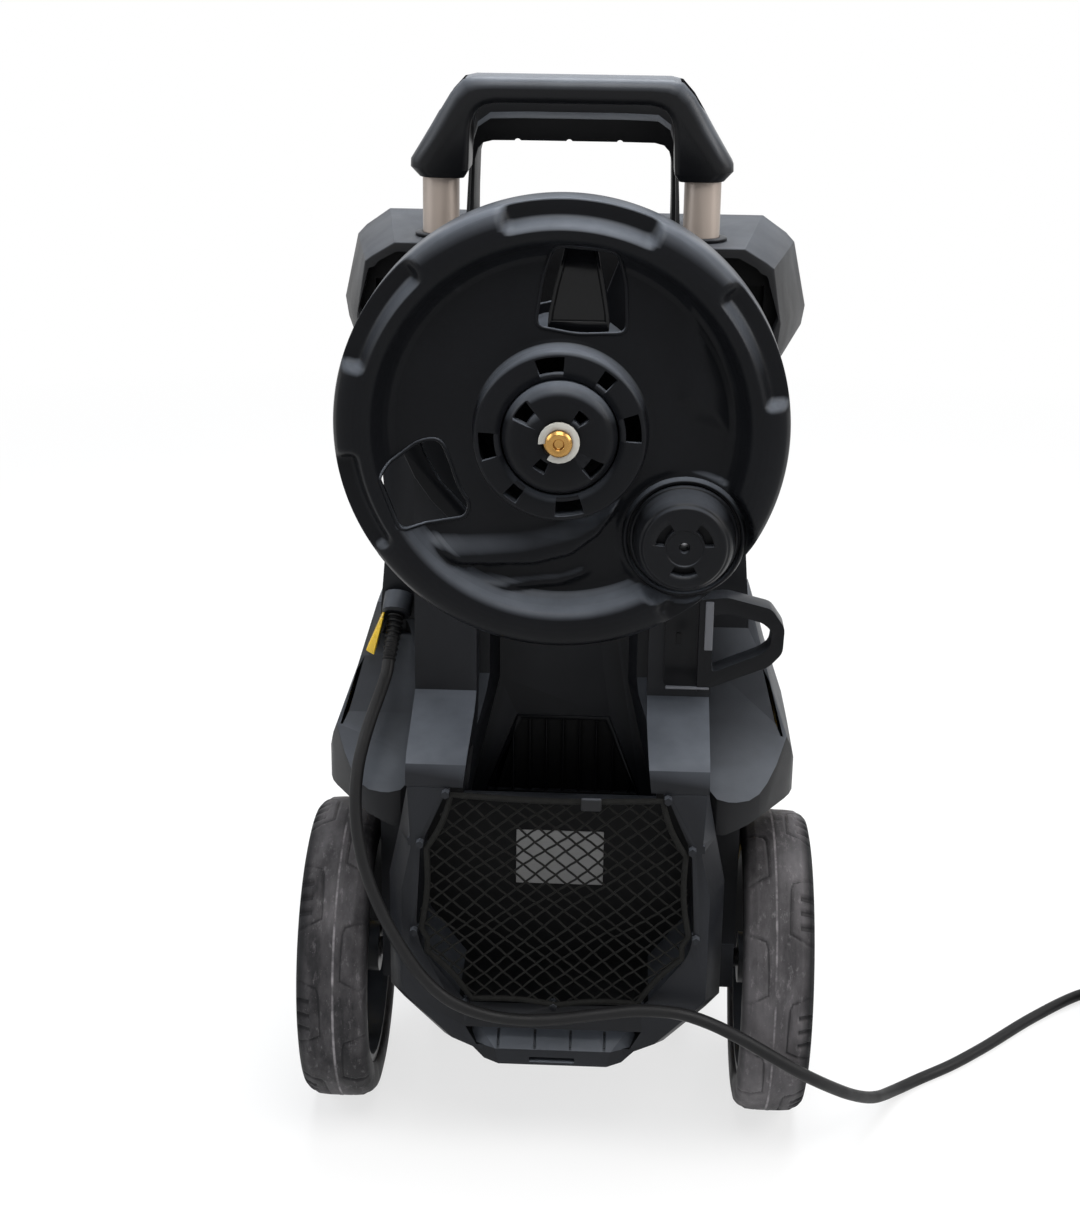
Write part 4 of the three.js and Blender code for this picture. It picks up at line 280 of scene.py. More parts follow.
def braided_cord(name, colour):
    """Braid: fine slanted ridges on a dull yarn."""
    finish = Finish(name)
    ridges = finish.nodes.new("ShaderNodeTexWave")
    ridges.bands_direction = "DIAGONAL"
    ridges.inputs["Scale"].default_value = 620
    ridges.inputs["Distortion"].default_value = 2.5
    finish.link(finish.place, ridges.inputs["Vector"])
    finish.set("Base Color", finish.mixed(ridges.outputs["Fac"], shade(colour, 0.6), shade(colour, 1.7)))
    finish.set("Roughness", finish.spread(finish.noise(200, 2), 0.3, 0.7, 0.62, 0.85))
    finish.set("Normal", finish.bump(ridges.outputs["Fac"], 0.0003, 0.7))
    finish.set("Specular IOR Level", 0.15)
    return finish.material


def painted_metal(name, colour):
    finish = Finish(name)
    along = finish.stretched((1.0, 1.0, 0.08))
    streaks = finish.noise(160, 3, 0.6, along)
    finish.set("Base Color", finish.mixed(streaks, shade(colour, 0.88), shade(colour, 1.1)))
    finish.set("Metallic", 0.35)
    finish.set("Roughness", finish.spread(streaks, 0.3, 0.7, 0.34, 0.46))
    finish.set("Normal", finish.bump(finish.noise(900, 2), 0.00006, 0.4))
    return finish.material


def turned_metal(name, colour, rough=0.25):
    finish = Finish(name)
    rings = finish.noise(520, 2, 0.6)
    finish.set("Base Color", finish.mixed(rings, shade(colour, 0.82), shade(colour, 1.12)))
    finish.set("Metallic", 1.0)
    finish.set("Roughness", finish.spread(rings, 0.3, 0.7, rough - 0.05, rough + 0.12))
    finish.set("Normal", finish.bump(rings, 0.00008, 0.5))
    return finish.material


def brushed_plate(name, colour):
    finish = Finish(name)
    along = finish.stretched((0.06, 1.0, 1.0))
    streaks = finish.noise(900, 3, 0.6, along)
    finish.set("Base Color", finish.mixed(streaks, shade(colour, 0.85), shade(colour, 1.15)))
    finish.set("Roughness", finish.spread(streaks, 0.3, 0.7, 0.35, 0.5))
    finish.set("Metallic", 0.2)
    return finish.material


FINISHES = {}  # filled by make_finishes, by name


def make_finishes():
    c = colours()
    FINISHES.update(
        # The fifth number sets the pale film on faces that look up: dust plus a painted sky sheen.
        shell=moulded_plastic("shell_plastic", c.shell, 0.42, 0.00012, 0.5),
        head=moulded_plastic("head_plastic", c.head, 0.5, 0.00016, 0.24),
        knob=moulded_plastic("knob_plastic", c.reel, 0.34, 0.0001, 0.24, 0.22, 0.1, 0.5),
        fender=moulded_plastic("fender_plastic", c.head, 0.5, 0.00016, 0.46),
        # A much lighter copy of the head plastic, a painted highlight for the hook's rail and lip.
        worn=moulded_plastic("head_plastic_painted_highlight", shade(c.head, 7), 0.4, 0.00016, 0.3),
        tub=moulded_plastic("tub_plastic", c.shell, 0.42, 0.00012, 0.22),
        reel=moulded_plastic("reel_plastic", c.reel, 0.32, 0.0001, 0.5, 0.22, 0.075, 0.26),
        black=moulded_plastic("black_plastic", c.black, 0.36, 0.0001, 0.12, 0.22, 0.12),
        grip=moulded_plastic("grip_plastic", c.black, 0.34, 0.00012, 0.5, 0.2, 0.18),
        # A darker copy of the black plastic that paints shade into recesses, hollows and the space behind the grille.
        deep=moulded_plastic("recess_painted_shade", shade(c.black, 0.45), 0.55, 0.0001, 0.0, 0.0),
        gloss=polished_plastic("polished_plastic", c.black),
        yellow=polished_plastic("cover_plastic", c.yellow, 0.26, 0.5),
        tyre=dusty_tyre("tyre_rubber", c.tyre, c.dust),
        rubber=soft_rubber("cord_rubber", (0.0065, 0.0065, 0.007)),
        net=braided_cord("net_yarn", c.net),
        tube=painted_metal("tube_paint", c.tube),
        brass=turned_metal("brass", c.brass, 0.22),
        steel=turned_metal("steel", (0.5, 0.5, 0.52), 0.3),
        alloy=turned_metal("cast_alloy", (0.42, 0.42, 0.43), 0.45),
        clip=moulded_plastic("clip_plastic", c.clip, 0.45, 0.00008, 0.0, 0.0, 0.4),
        plate=brushed_plate("bare_plate", c.plate),
    )


# ---------------------------------------------------------------- mesh tools


def refinish(mesh, finish):
    """Gives a mesh this finish or these finishes and no others."""
    mesh.materials.clear()
    for one in finish if isinstance(finish, (list, tuple)) else [finish]:
        mesh.materials.append(FINISHES[one])


def in_scene(name, data):
    """A new object, linked to the scene."""
    made = bpy.data.objects.new(name, data)
    bpy.context.scene.collection.objects.link(made)
    return made


def piece(name, mesh, body, finish, nodes=()):
    """Hangs a finished mesh on a body, in place of the frame's nodes that it stands for."""
    made = in_scene(name, mesh)
    refinish(mesh, finish)
    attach(made, body)
    if nodes:
        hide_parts(*nodes)
    return made


def mesh_from(name, vertices, faces, smooth=True):
    mesh = bpy.data.meshes.new(name)
    mesh.from_pydata([tuple(v) for v in vertices], [], faces)
    mesh.validate()
    if smooth:
        mesh.shade_smooth()
    return mesh


def from_bmesh(name, bm, smooth=True):
    mesh = bpy.data.meshes.new(name)
    bm.normal_update()
    bm.to_mesh(mesh)
    bm.free()
    if smooth:
        mesh.shade_smooth()
    return mesh


def settled(mesh, *modifiers):
    """The mesh with modifiers applied, each given as a type and its settings."""
    scratch = in_scene("scratch", mesh)
    for kind, settings in modifiers:
        modifier = scratch.modifiers.new(kind.title(), kind)
        for key, value in settings.items():
            setattr(modifier, key, value)
    graph = bpy.context.evaluated_depsgraph_get()
    result = bpy.data.meshes.new_from_object(scratch.evaluated_get(graph))
    bpy.data.objects.remove(scratch)
    return result


def cad_bmesh(node):
    """A copy of a frame node's mesh, merged and with its flat faces made whole."""
    bm = bmesh.new()
    bm.from_mesh(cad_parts[node].data)
    bmesh.ops.remove_doubles(bm, verts=bm.verts, dist=0.00002)
    bmesh.ops.dissolve_limit(bm, angle_limit=math.radians(0.6), verts=bm.verts, edges=bm.edges)
    bmesh.ops.recalc_face_normals(bm, faces=bm.faces)
    return bm


def edge_bevel(width, segments, angle):
    return "BEVEL", {
        "width": width, "segments": segments, "limit_method": "ANGLE", "angle_limit": math.radians(angle),
        "harden_normals": True, "use_clamp_overlap": True, "miter_outer": "MITER_ARC"}


def all_edges_bevel(width, segments):
    return "BEVEL", {"width": width, "segments": segments, "limit_method": "NONE"}


def rounded(node, body, finish, width=None, segments=2, angle=28):
    """A moulded version of a frame node: the same form with its edges rounded."""
    mesh = from_bmesh(node + "_moulded", cad_bmesh(node))
    mesh = settled(mesh, edge_bevel(width or sizes().edge_round, segments, angle))
    return piece(node + "_moulded", mesh, body, finish, [node])


def creased(mesh, width, segments=2, angle=34):
    """The mesh with its sharp edges rounded a little."""
    bm = bmesh.new()
    bm.from_mesh(mesh)
    bmesh.ops.remove_doubles(bm, verts=bm.verts, dist=0.00002)
    bmesh.ops.dissolve_limit(bm, angle_limit=math.radians(0.4), verts=bm.verts, edges=bm.edges)
    return settled(from_bmesh(mesh.name, bm), edge_bevel(width, segments, angle))


def ring_skin(places, turns):
    """A skin over rings of places, all with as many, that close round an axis."""
    count = len(places) // turns
    bm = bmesh.new()
    made = [bm.verts.new(place) for place in places]
    for i in range(turns):
        j = (i + 1) % turns
        for k in range(count):
            n = (k + 1) % count
            bm.faces.new([made[m] for m in (i * count + k, i * count + n, j * count + n, j * count + k)])
    return bm


def wire_loop(name, places):
    """A closed line of edges through places."""
    bm = bmesh.new()
    verts = [bm.verts.new(place) for place in places]
    for i, vert in enumerate(verts):
        bm.edges.new((vert, verts[(i + 1) % len(verts)]))
    return from_bmesh(name, bm, False)


def lathe(profile, axis, centre, segments=96):
    """A closed profile of [radius, place along the axis] in millimetres, turned about X, Y or Z."""
    rings = []
    for i in range(segments):
        angle = 2 * math.pi * i / segments
        c, s = math.cos(angle), math.sin(angle)
        for r, along in profile:
            if axis == "Y":
                rings.append(point(centre[0] + r * c, along, centre[1] + r * s))
            elif axis == "X":
                rings.append(point(along, centre[0] + r * c, centre[1] + r * s))
            else:
                rings.append(point(centre[0] + r * c, centre[1] + r * s, along))
    bm = ring_skin(rings, segments)
    bmesh.ops.remove_doubles(bm, verts=bm.verts, dist=1e-6)
    bmesh.ops.recalc_face_normals(bm, faces=bm.faces)
    return bm


def lofted(sections, closed=False):
    """A skin through rings of places in millimetres that all have as many points, capped at its ends."""
    bm = bmesh.new()
    rings = [[bm.verts.new(point(*place)) for place in section] for section in sections]
    pairs = list(zip(rings, rings[1:])) + ([(rings[-1], rings[0])] if closed else [])
    for first, second in pairs:
        for i in range(len(first)):
            k = (i + 1) % len(first)
            bm.faces.new((first[i], first[k], second[k], second[i]))
    if not closed:
        bm.faces.new(rings[0])
        bm.faces.new(list(reversed(rings[-1])))
    bmesh.ops.recalc_face_normals(bm, faces=bm.faces)
    return bm


def bar_section(inner, outer, rear, front, radii, steps=5):
    """A rounded box section between an inner and an outer place [x, z]; radii run rear outer, front outer,
    front inner, rear inner."""
    inner, outer = Vector(inner), Vector(outer)
    across = outer - inner
    span, deep = across.length, front - rear
    corners = [(span, 0, radii[0]), (span, deep, radii[1]), (0, deep, radii[2]), (0, 0, radii[3])]
    section = []
    for i, (a, b, radius) in enumerate(corners):
        radius = min(radius, span * 0.48)
        corner = Vector((a, b))
        back = (Vector(corners[i - 1][:2]) - corner).normalized() * radius
        ahead = (Vector(corners[(i + 1) % 4][:2]) - corner).normalized() * radius
        for k in range(steps + 1):
            turn = math.pi / 2 * k / steps
            spot = corner + back * (1 - math.sin(turn)) + ahead * (1 - math.cos(turn))
            place = inner + across.normalized() * spot.x
            section.append((place.x, rear + spot.y, place.y))
    return section


def both_sides(half):
    """Stations for one half of an arch, ending at its middle, and their mirror images."""
    return half + [((-a[0], a[1]), (-b[0], b[1])) for a, b in reversed(half[:-1])]


def softened(profile, radius, steps=3, turned=True):
    """A profile with its corners rounded; a turned one keeps its ends on the axis and its straight runs."""
    result = []
    count = len(profile)
    for i, corner in enumerate(profile):
        corner = Vector(corner)
        back = Vector(profile[i - 1]) - corner
        ahead = Vector(profile[(i + 1) % count]) - corner
        cut = min(radius, back.length / 2.1, ahead.length / 2.1)
        if turned and (cut < 1e-6 or back.angle(ahead, math.pi) > math.radians(172) or corner.x < 1e-6):
            result.append(corner)
            continue
        start, end = corner + back.normalized() * cut, corner + ahead.normalized() * cut
        for k in range(steps + 1):
            t = k / steps
            result.append(start * (1 - t) ** 2 + corner * 2 * t * (1 - t) + end * t * t)
    return [(v.x, v.y) for v in result]


def softened_loop(corners, radius, steps):
    return softened(corners, radius, steps, turned=False)


def box_prism(outline, low, high, place):
    """A bmesh prism from an outline; place maps (a, b, height) to the frame."""
    bm = bmesh.new()
    bottom = [bm.verts.new(place(a, b, low)) for a, b in outline]
    top = [bm.verts.new(place(a, b, high)) for a, b in outline]
    bm.faces.new(bottom)
    bm.faces.new(top)
    for i in range(len(outline)):
        k = (i + 1) % len(outline)
        bm.faces.new((bottom[i], bottom[k], top[k], top[i]))
    bmesh.ops.recalc_face_normals(bm, faces=bm.faces)
    return bm


def facing_rear(x, z, depth):
    return point(x, depth, z)


def cut_by(mesh, cutters):
    """The mesh less a list of closed cutters."""
    scratch = [in_scene(f"cutter_{i}", from_bmesh(f"cutter_{i}", cutter, False)) for i, cutter in enumerate(cutters)]
    whole = mesh
    for tool in scratch:
        whole = settled(whole, ("BOOLEAN", {"object": tool, "operation": "DIFFERENCE", "solver": "EXACT"}))
    for tool in scratch:
        bpy.data.objects.remove(tool)
    return whole


def catmull(points, spacing):
    """Samples of the centripetal curve through points, as the frame's own tubes follow."""
    pts = [Vector(p) for p in points]
    first = pts[0] * 2 - pts[1]
    last = pts[-1] * 2 - pts[-2]
    ring = [first, *pts, last]
    samples = []
    for i in range(1, len(ring) - 2):
        p0, p1, p2, p3 = ring[i - 1:i + 3]
        t0 = (p1 - p0).length ** 0.5
        t1 = (p2 - p1).length ** 0.5
        t2 = (p3 - p2).length ** 0.5
        m1 = ((p1 - p0) / t0 - (p2 - p0) / (t0 + t1) + (p2 - p1) / t1) * t1
        m2 = ((p2 - p1) / t1 - (p3 - p1) / (t1 + t2) + (p3 - p2) / t2) * t1
        steps = max(2, round((p2 - p1).length / spacing))
        for k in range(steps):
            t = k / steps
            samples.append(p1 * (2 * t ** 3 - 3 * t ** 2 + 1) + m1 * (t ** 3 - 2 * t ** 2 + t)
                           + p2 * (-2 * t ** 3 + 3 * t ** 2) + m2 * (t ** 3 - t ** 2))
    samples.append(pts[-1].copy())
    return samples


def polygon_depth(x, z, corners):
    """How far points lie inside a polygon, negative outside, for arrays x and z."""
    nearest = np.full(x.shape, 1e9)
    inside = np.zeros(x.shape, bool)
    count = len(corners)
    for i in range(count):
        ax, az = corners[i]
        bx, bz = corners[(i + 1) % count]
        dx, dz = bx - ax, bz - az
        t = np.clip(((x - ax) * dx + (z - az) * dz) / (dx * dx + dz * dz), 0, 1)
        nearest = np.minimum(nearest, np.hypot(x - ax - t * dx, z - az - t * dz))
        crosses = ((az > z) != (bz > z)) & (x < (bx - ax) * (z - az) / (bz - az + 1e-12) + ax)
        inside ^= crosses
    return np.where(inside, nearest, -nearest)


def smooth_step(value, low, high):
    t = np.clip((value - low) / (high - low), 0, 1)
    return t * t * (3 - 2 * t)


# ---------------------------------------------------------------- node trees for what repeats


class Tree:
    """A geometry node tree with named inputs."""

    def __init__(self, name):
        self.tree = bpy.data.node_groups.new(name, "GeometryNodeTree")
        self.nodes, self.links = self.tree.nodes, self.tree.links
        self.sockets = {}
        self.tree.interface.new_socket("Geometry", in_out="INPUT", socket_type="NodeSocketGeometry")
        self.tree.interface.new_socket("Geometry", in_out="OUTPUT", socket_type="NodeSocketGeometry")
        self.entry = self.nodes.new("NodeGroupInput")
        self.exit = self.nodes.new("NodeGroupOutput")

    def given(self, name, kind, value):
        socket = self.tree.interface.new_socket(name, in_out="INPUT", socket_type=kind)
        socket.default_value = value
        self.sockets[name] = socket.identifier
        return self.entry.outputs[name]

    def add(self, kind, settings=None, **inputs):
        node = self.nodes.new(kind)
        for key, value in (settings or {}).items():
            setattr(node, key, value)
        for key, value in inputs.items():
            socket = node.inputs[key.replace("_", " ")]
            if isinstance(value, bpy.types.NodeSocket):
                self.links.new(value, socket)
            else:
                socket.default_value = value
        return node

    def close(self, geometry, finish):
        real = self.add("GeometryNodeRealizeInstances", Geometry=geometry)
        painted = self.add("GeometryNodeSetMaterial", Geometry=real.outputs["Geometry"], Material=FINISHES[finish])
        self.links.new(painted.outputs["Geometry"], self.exit.inputs["Geometry"])

    def grown(self, name, base, values):
        """The plain mesh that the tree makes from a base mesh."""
        scratch = in_scene(name, base)
        modifier = scratch.modifiers.new("Tree", "NODES")
        modifier.node_group = self.tree
        for key, value in values.items():
            modifier[self.sockets[key]] = value
        graph = bpy.context.evaluated_depsgraph_get()
        mesh = bpy.data.meshes.new_from_object(scratch.evaluated_get(graph))
        bpy.data.objects.remove(scratch)
        return mesh


def strand_tree(finish):
    """Turns a mesh of edges into round strands."""
    tree = Tree("net_strands")
    radius = tree.given("Strand radius", "NodeSocketFloat", 0.001)
    sides = tree.given("Sides", "NodeSocketInt", 6)
    lines = tree.add("GeometryNodeMeshToCurve", Mesh=tree.entry.outputs["Geometry"])
    ring = tree.add("GeometryNodeCurvePrimitiveCircle", {"mode": "RADIUS"}, Radius=radius, Resolution=sides)
    tube = tree.add("GeometryNodeCurveToMesh", Curve=lines.outputs["Curve"], **{"Profile_Curve": ring.outputs["Curve"]})
    soft = tree.add("GeometryNodeSetShadeSmooth", Geometry=tube.outputs["Mesh"])
    tree.close(soft.outputs["Geometry"], finish)
    return tree


def rib_tree(finish):
    """Rings strung along an edge, each smaller than the one before."""
    tree = Tree("relief_ribs")
    count = tree.given("Count", "NodeSocketInt", 8)
    near = tree.given("Near radius", "NodeSocketFloat", 0.0062)
    far = tree.given("Far radius", "NodeSocketFloat", 0.0050)
    line = tree.add("GeometryNodeMeshToCurve", Mesh=tree.entry.outputs["Geometry"])
    spots = tree.add("GeometryNodeCurveToPoints", {"mode": "COUNT"}, Curve=line.outputs["Curve"], Count=count)
    ring = tree.add("GeometryNodeCurvePrimitiveCircle", {"mode": "RADIUS"}, Radius=1.0, Resolution=28)
    bead = tree.add("GeometryNodeCurvePrimitiveCircle", {"mode": "RADIUS"}, Radius=0.16, Resolution=8)
    torus = tree.add("GeometryNodeCurveToMesh", Curve=ring.outputs["Curve"], **{"Profile_Curve": bead.outputs["Curve"]})
    index = tree.add("GeometryNodeInputIndex")
    last = tree.add("ShaderNodeMath", {"operation": "SUBTRACT"})
    tree.links.new(count, last.inputs[0])
    last.inputs[1].default_value = 1
    share = tree.add("ShaderNodeMapRange", Value=index.outputs["Index"], **{
        "From_Max": last.outputs["Value"], "To_Min": near, "To_Max": far})
    placed = tree.add("GeometryNodeInstanceOnPoints", Points=spots.outputs["Points"], Instance=torus.outputs["Mesh"],
                      Rotation=spots.outputs["Rotation"], Scale=share.outputs["Result"])
    soft = tree.add("GeometryNodeSetShadeSmooth", Geometry=placed.outputs["Instances"])
    tree.close(soft.outputs["Geometry"], finish)
    return tree


# ---------------------------------------------------------------- power cord

RELIEF_START = Vector((-106.5, -9, 341))
RELIEF_END = Vector((-109, -30, 318))
LEAD = [
    (-113.2, -44, 301), (-119, -58.5, 284.5), (-123.7, -72, 264.3), (-124.6, -82.5, 244),
    (-122, -90.5, 221.8), (-115.5, -96, 197.6), (-105.8, -99, 174), (-94.2, -100, 151.8),
    (-80.4, -100, 131.2), (-63.8, -99.5, 116.2), (-42.8, -98.6, 107.2), (-20.7, -98.2, 104),
    (4.6, -98.2, 105.6), (29.7, -98.4, 110), (54.8, -99, 114), (79.8, -101.5, 114.2),
    (98.6, -105.3, 110.2), (117.5, -108.8, 102.6), (136.8, -110.6, 92), (156.5, -107.8, 78.6),
    (177.5, -93, 60), (197, -68, 38.5), (215, -38, 19), (232, -10, 7.5), (251, 10, 4.3),
    (275, 29, 4.2), (301.5, 54, 4.2), (344, 98, 4.2), (384, 133, 4.2), (410, 147, 4.2),
]
TAIL = [(472.5, 172.7, 28.5), (502, 179, 25), (528, 174, 21.5), (546, 160, 18.9)]
COIL_CENTRE = (458, 100)
COIL_RADIUS, COIL_PITCH, COIL_LAYERS, COIL_TURNS = 62, 8.6, 4, 3.25
COIL_START = math.radians(112)


def coil_place(turn):
    layer = min(COIL_LAYERS - 1, int(turn // COIL_TURNS))
    into = turn - layer * COIL_TURNS
    drawn_in = into if layer % 2 == 0 else COIL_TURNS - into
    radius = COIL_RADIUS - COIL_PITCH * drawn_in
    level = sum(min(1, max(0, (turn - i * COIL_TURNS) * 2 + 0.5)) for i in range(1, COIL_LAYERS))
    angle = COIL_START - turn * 2 * math.pi
    return Vector((COIL_CENTRE[0] + radius * math.cos(angle), COIL_CENTRE[1] + radius * math.sin(angle),
                   4.2 + COIL_PITCH * level))


def coil_route(steps_per_turn=24):
    turns = COIL_LAYERS * COIL_TURNS
    steps = round(turns * steps_per_turn)
    pts = [coil_place(turns * i / steps) for i in range(steps + 1)]
    lead = pts[0] - pts[1]
    tail = pts[-1] - pts[-2]
    lead.z = tail.z = 0
    return [pts[0] + lead.normalized() * 8, *pts, pts[-1] + tail.normalized() * 8]


def cord_route():
    """The cord's whole centre line, from its strain relief to its plug."""
    out = (RELIEF_END - RELIEF_START).normalized()
    coil = coil_route()
    start = RELIEF_END + out * 0.3
    entry = (coil[0] - coil[1]).normalized()
    lead_end = coil[0] + entry * 0.3
    lead = catmull([start, start + out * 8, *LEAD, lead_end + entry * 8, lead_end], 6)
    leaving = (coil[-1] - coil[-2]).normalized()
    tail_start = coil[-1] + leaving * 0.3
    plug = Vector((TAIL[-1][0] + 8, TAIL[-1][1] - 28 + 0.3, 18.2))
    tail = catmull([tail_start, tail_start + leaving * 8, *TAIL, plug + Vector((0, 8, 0)), plug], 6)
    return [point(*v) for v in (*lead, *coil, *tail)]


class WASHER_OT_power_cord(bpy.types.Operator):
    """Power cord in one run, with its strain relief, tie and plug"""

    bl_idname = "washer.power_cord"
    bl_label = "Power cord"

    def execute(self, context):
        route = cord_route()
        curve = bpy.data.curves.new("power_cord", "CURVE")
        curve.dimensions = "3D"
        curve.bevel_depth = sizes().cord_diameter / 2
        curve.bevel_resolution = 4
        spline = curve.splines.new("POLY")
        spline.points.add(len(route) - 1)
        for spot, place in zip(spline.points, route):
            spot.co = (*place, 1)
        spline.use_smooth = True
        curve.use_fill_caps = True
        curve.materials.append(FINISHES["rubber"])
        cord = in_scene("power_cord", curve)
        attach(cord, "chassis")
        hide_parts("cord_lead", "cord_coil", "cord_tail")
        plug = rounded("mains_plug", "chassis", "rubber", 0.0009)
        tie = rounded("cord_tie", "chassis", "net", 0.0003, 1)
        start, end = point(*RELIEF_START), point(*RELIEF_END)
        inset = (end - start).normalized() * 0.0012
        core = tapered_bar(start, end, 0.0046, 0.0037)
        ends = mesh_from("relief_line", [start + inset, end - inset], [])
        ends.edges.add(1)
        ends.edges[0].vertices = (0, 1)
        ribs = rib_tree("rubber").grown("relief_ribs", ends, {
            "Count": sizes().rib_count, "Near radius": 0.0048, "Far radius": 0.0038})
        whole = joined_mesh("relief_sleeve", [core, ribs])
        piece("relief_sleeve", whole, "chassis", "rubber", ["strain_relief"])
        return {"FINISHED"}


def tapered_bar(start, end, near, far):
    """A tapering round bar between two places."""
    bm = bmesh.new()
    along = end - start
    turn = along.to_track_quat("Z", "Y").to_matrix().to_4x4()
    bmesh.ops.create_cone(bm, cap_ends=True, segments=28, radius1=near, radius2=far, depth=along.length,
                          matrix=Matrix.Translation((start + end) / 2) @ turn)
    return from_bmesh("relief_core", bm)


def joined_mesh(name, meshes):
    bm = bmesh.new()
    for mesh in meshes:
        bm.from_mesh(mesh)
    return from_bmesh(name, bm)


# ---------------------------------------------------------------- stage


def combined(tree, operation, first, second):
    """A Math node's result for two sockets."""
    node = tree.nodes.new("ShaderNodeMath")
    node.operation = operation
    tree.links.new(first, node.inputs[0])
    tree.links.new(second, node.inputs[1])
    return node.outputs["Value"]


def blended(tree, share, plain, white, output):
    """Shows the white shader by its share and the plain one by the rest."""
    mix = tree.nodes.new("ShaderNodeMixShader")
    tree.links.new(share, mix.inputs["Fac"])
    tree.links.new(plain, mix.inputs[1])
    tree.links.new(white, mix.inputs[2])
    tree.links.new(mix.outputs["Shader"], tree.nodes[output].inputs["Surface"])


class WASHER_OT_stage(bpy.types.Operator):
    """Camera at the photograph's angle, pale floor and soft studio lamps"""

    bl_idname = "washer.stage"
    bl_label = "Stage"

    def execute(self, context):
        self.camera(context)
        self.floor(context)
        self.lamps(context)
        context.scene.view_settings.view_transform = "Standard"
        return {"FINISHED"}

    def camera(self, context):
        pitch, yaw, roll = math.radians(19.5), math.radians(2.39), math.radians(0.74)
        ahead = Vector((-math.sin(yaw) * math.cos(pitch), math.cos(yaw) * math.cos(pitch), -math.sin(pitch)))
        right = ahead.cross(Vector((0, 0, 1))).normalized()
        down = ahead.cross(right)
        across = right * math.cos(roll) - down * math.sin(roll)
        below = right * math.sin(roll) + down * math.cos(roll)
        data = bpy.data.cameras.new("camera")
        data.sensor_width = 36
        data.lens = FOCAL_PIXELS * data.sensor_width / FRAME_HEIGHT
        data.clip_end = 100
        camera = in_scene("camera", data)
        camera.matrix_world = Matrix.Translation(point(36.3, -1238, 779)) @ Matrix(
            (across, -below, -ahead)).transposed().to_4x4()
        context.scene.camera = camera

    def floor(self, context):
        material = bpy.data.materials.new("pale_floor")
        material.use_nodes = True
        nodes, links = material.node_tree.nodes, material.node_tree.links
        shader = nodes["Principled BSDF"]
        grain = nodes.new("ShaderNodeTexNoise")
        grain.inputs["Scale"].default_value = 3
        tone = nodes.new("ShaderNodeMix")
        tone.data_type = "RGBA"
        tone.inputs["A"].default_value = (0.86, 0.86, 0.86, 1)
        tone.inputs["B"].default_value = (0.9, 0.9, 0.9, 1)
        links.new(grain.outputs["Fac"], tone.inputs["Factor"])
        links.new(tone.outputs["Result"], shader.inputs["Base Color"])
        shader.inputs["Roughness"].default_value = 0.9
        shader.inputs["Specular IOR Level"].default_value = 0.0
        glow = nodes.new("ShaderNodeEmission")
        glow.inputs["Strength"].default_value = 1.0
        path = nodes.new("ShaderNodeLightPath").outputs
        seen = combined(material.node_tree, "MAXIMUM", path["Is Camera Ray"], path["Is Glossy Ray"])
        place = nodes.new("ShaderNodeTexCoord")
        away = nodes.new("ShaderNodeVectorMath")
        away.operation = "LENGTH"
        links.new(place.outputs["Object"], away.inputs[0])
        rise = nodes.new("ShaderNodeMapRange")
        for socket, value in (("From Min", 0.75), ("From Max", 2.2), ("To Min", 0.72), ("To Max", 1.0)):
            rise.inputs[socket].default_value = value
        links.new(away.outputs["Value"], rise.inputs["Value"])
        share = combined(material.node_tree, "MULTIPLY", seen, rise.outputs["Result"])
        blended(material.node_tree, share, shader.outputs["BSDF"], glow.outputs["Emission"], "Material Output")
        corners = [(x * FLOOR_HALF, y * FLOOR_HALF, 0) for x, y in ((-1, -1), (1, -1), (1, 1), (-1, 1))]
        mesh = mesh_from("floor", corners, [(0, 1, 2, 3)], False)
        mesh.materials.append(material)
        floor = in_scene("floor", mesh)

    def lamps(self, context):
        world = bpy.data.worlds.new("studio")
        context.scene.world = world
        world.use_nodes = True
        nodes = world.node_tree.nodes
        ambient = nodes["Background"]
        ambient.inputs["Color"].default_value = (0.93, 0.96, 1.0, 1)
        ambient.inputs["Strength"].default_value = 0.34
        white = nodes.new("ShaderNodeBackground")
        white.inputs["Strength"].default_value = 1.0
        path = nodes.new("ShaderNodeLightPath").outputs
        seen = combined(world.node_tree, "MAXIMUM", path["Is Camera Ray"], path["Is Transmission Ray"])
        seen = combined(world.node_tree, "MAXIMUM", seen, path["Is Glossy Ray"])
        blended(world.node_tree, seen, ambient.outputs["Background"], white.outputs["Background"], "World Output")
        for name, place, aim, size, power, tint in (
            ("key_lamp", (0.15, -1.2, 2.7), (0, -0.05, 0.35), 1.5, 46, (1.0, 0.99, 0.97)),
            ("left_lamp", (-2.0, -0.5, 1.5), (0, 0, 0.35), 1.3, 20, (0.95, 0.97, 1.0)),
            ("right_lamp", (2.0, -0.4, 1.6), (0, 0, 0.35), 1.3, 32, (1.0, 0.98, 0.96)),
            ("top_lamp", (0.1, 0.9, 2.4), (0, 0, 0.45), 1.6, 44, (0.92, 0.96, 1.0)),
        ):
            data = bpy.data.lights.new(name, "AREA")
            data.size = size
            data.energy = power
            data.color = tint
            lamp = in_scene(name, data)
            lamp.location = place
            lamp.rotation_euler = (Vector(aim) - Vector(place)).to_track_quat("-Z", "Y").to_euler()


# ---------------------------------------------------------------- wheels


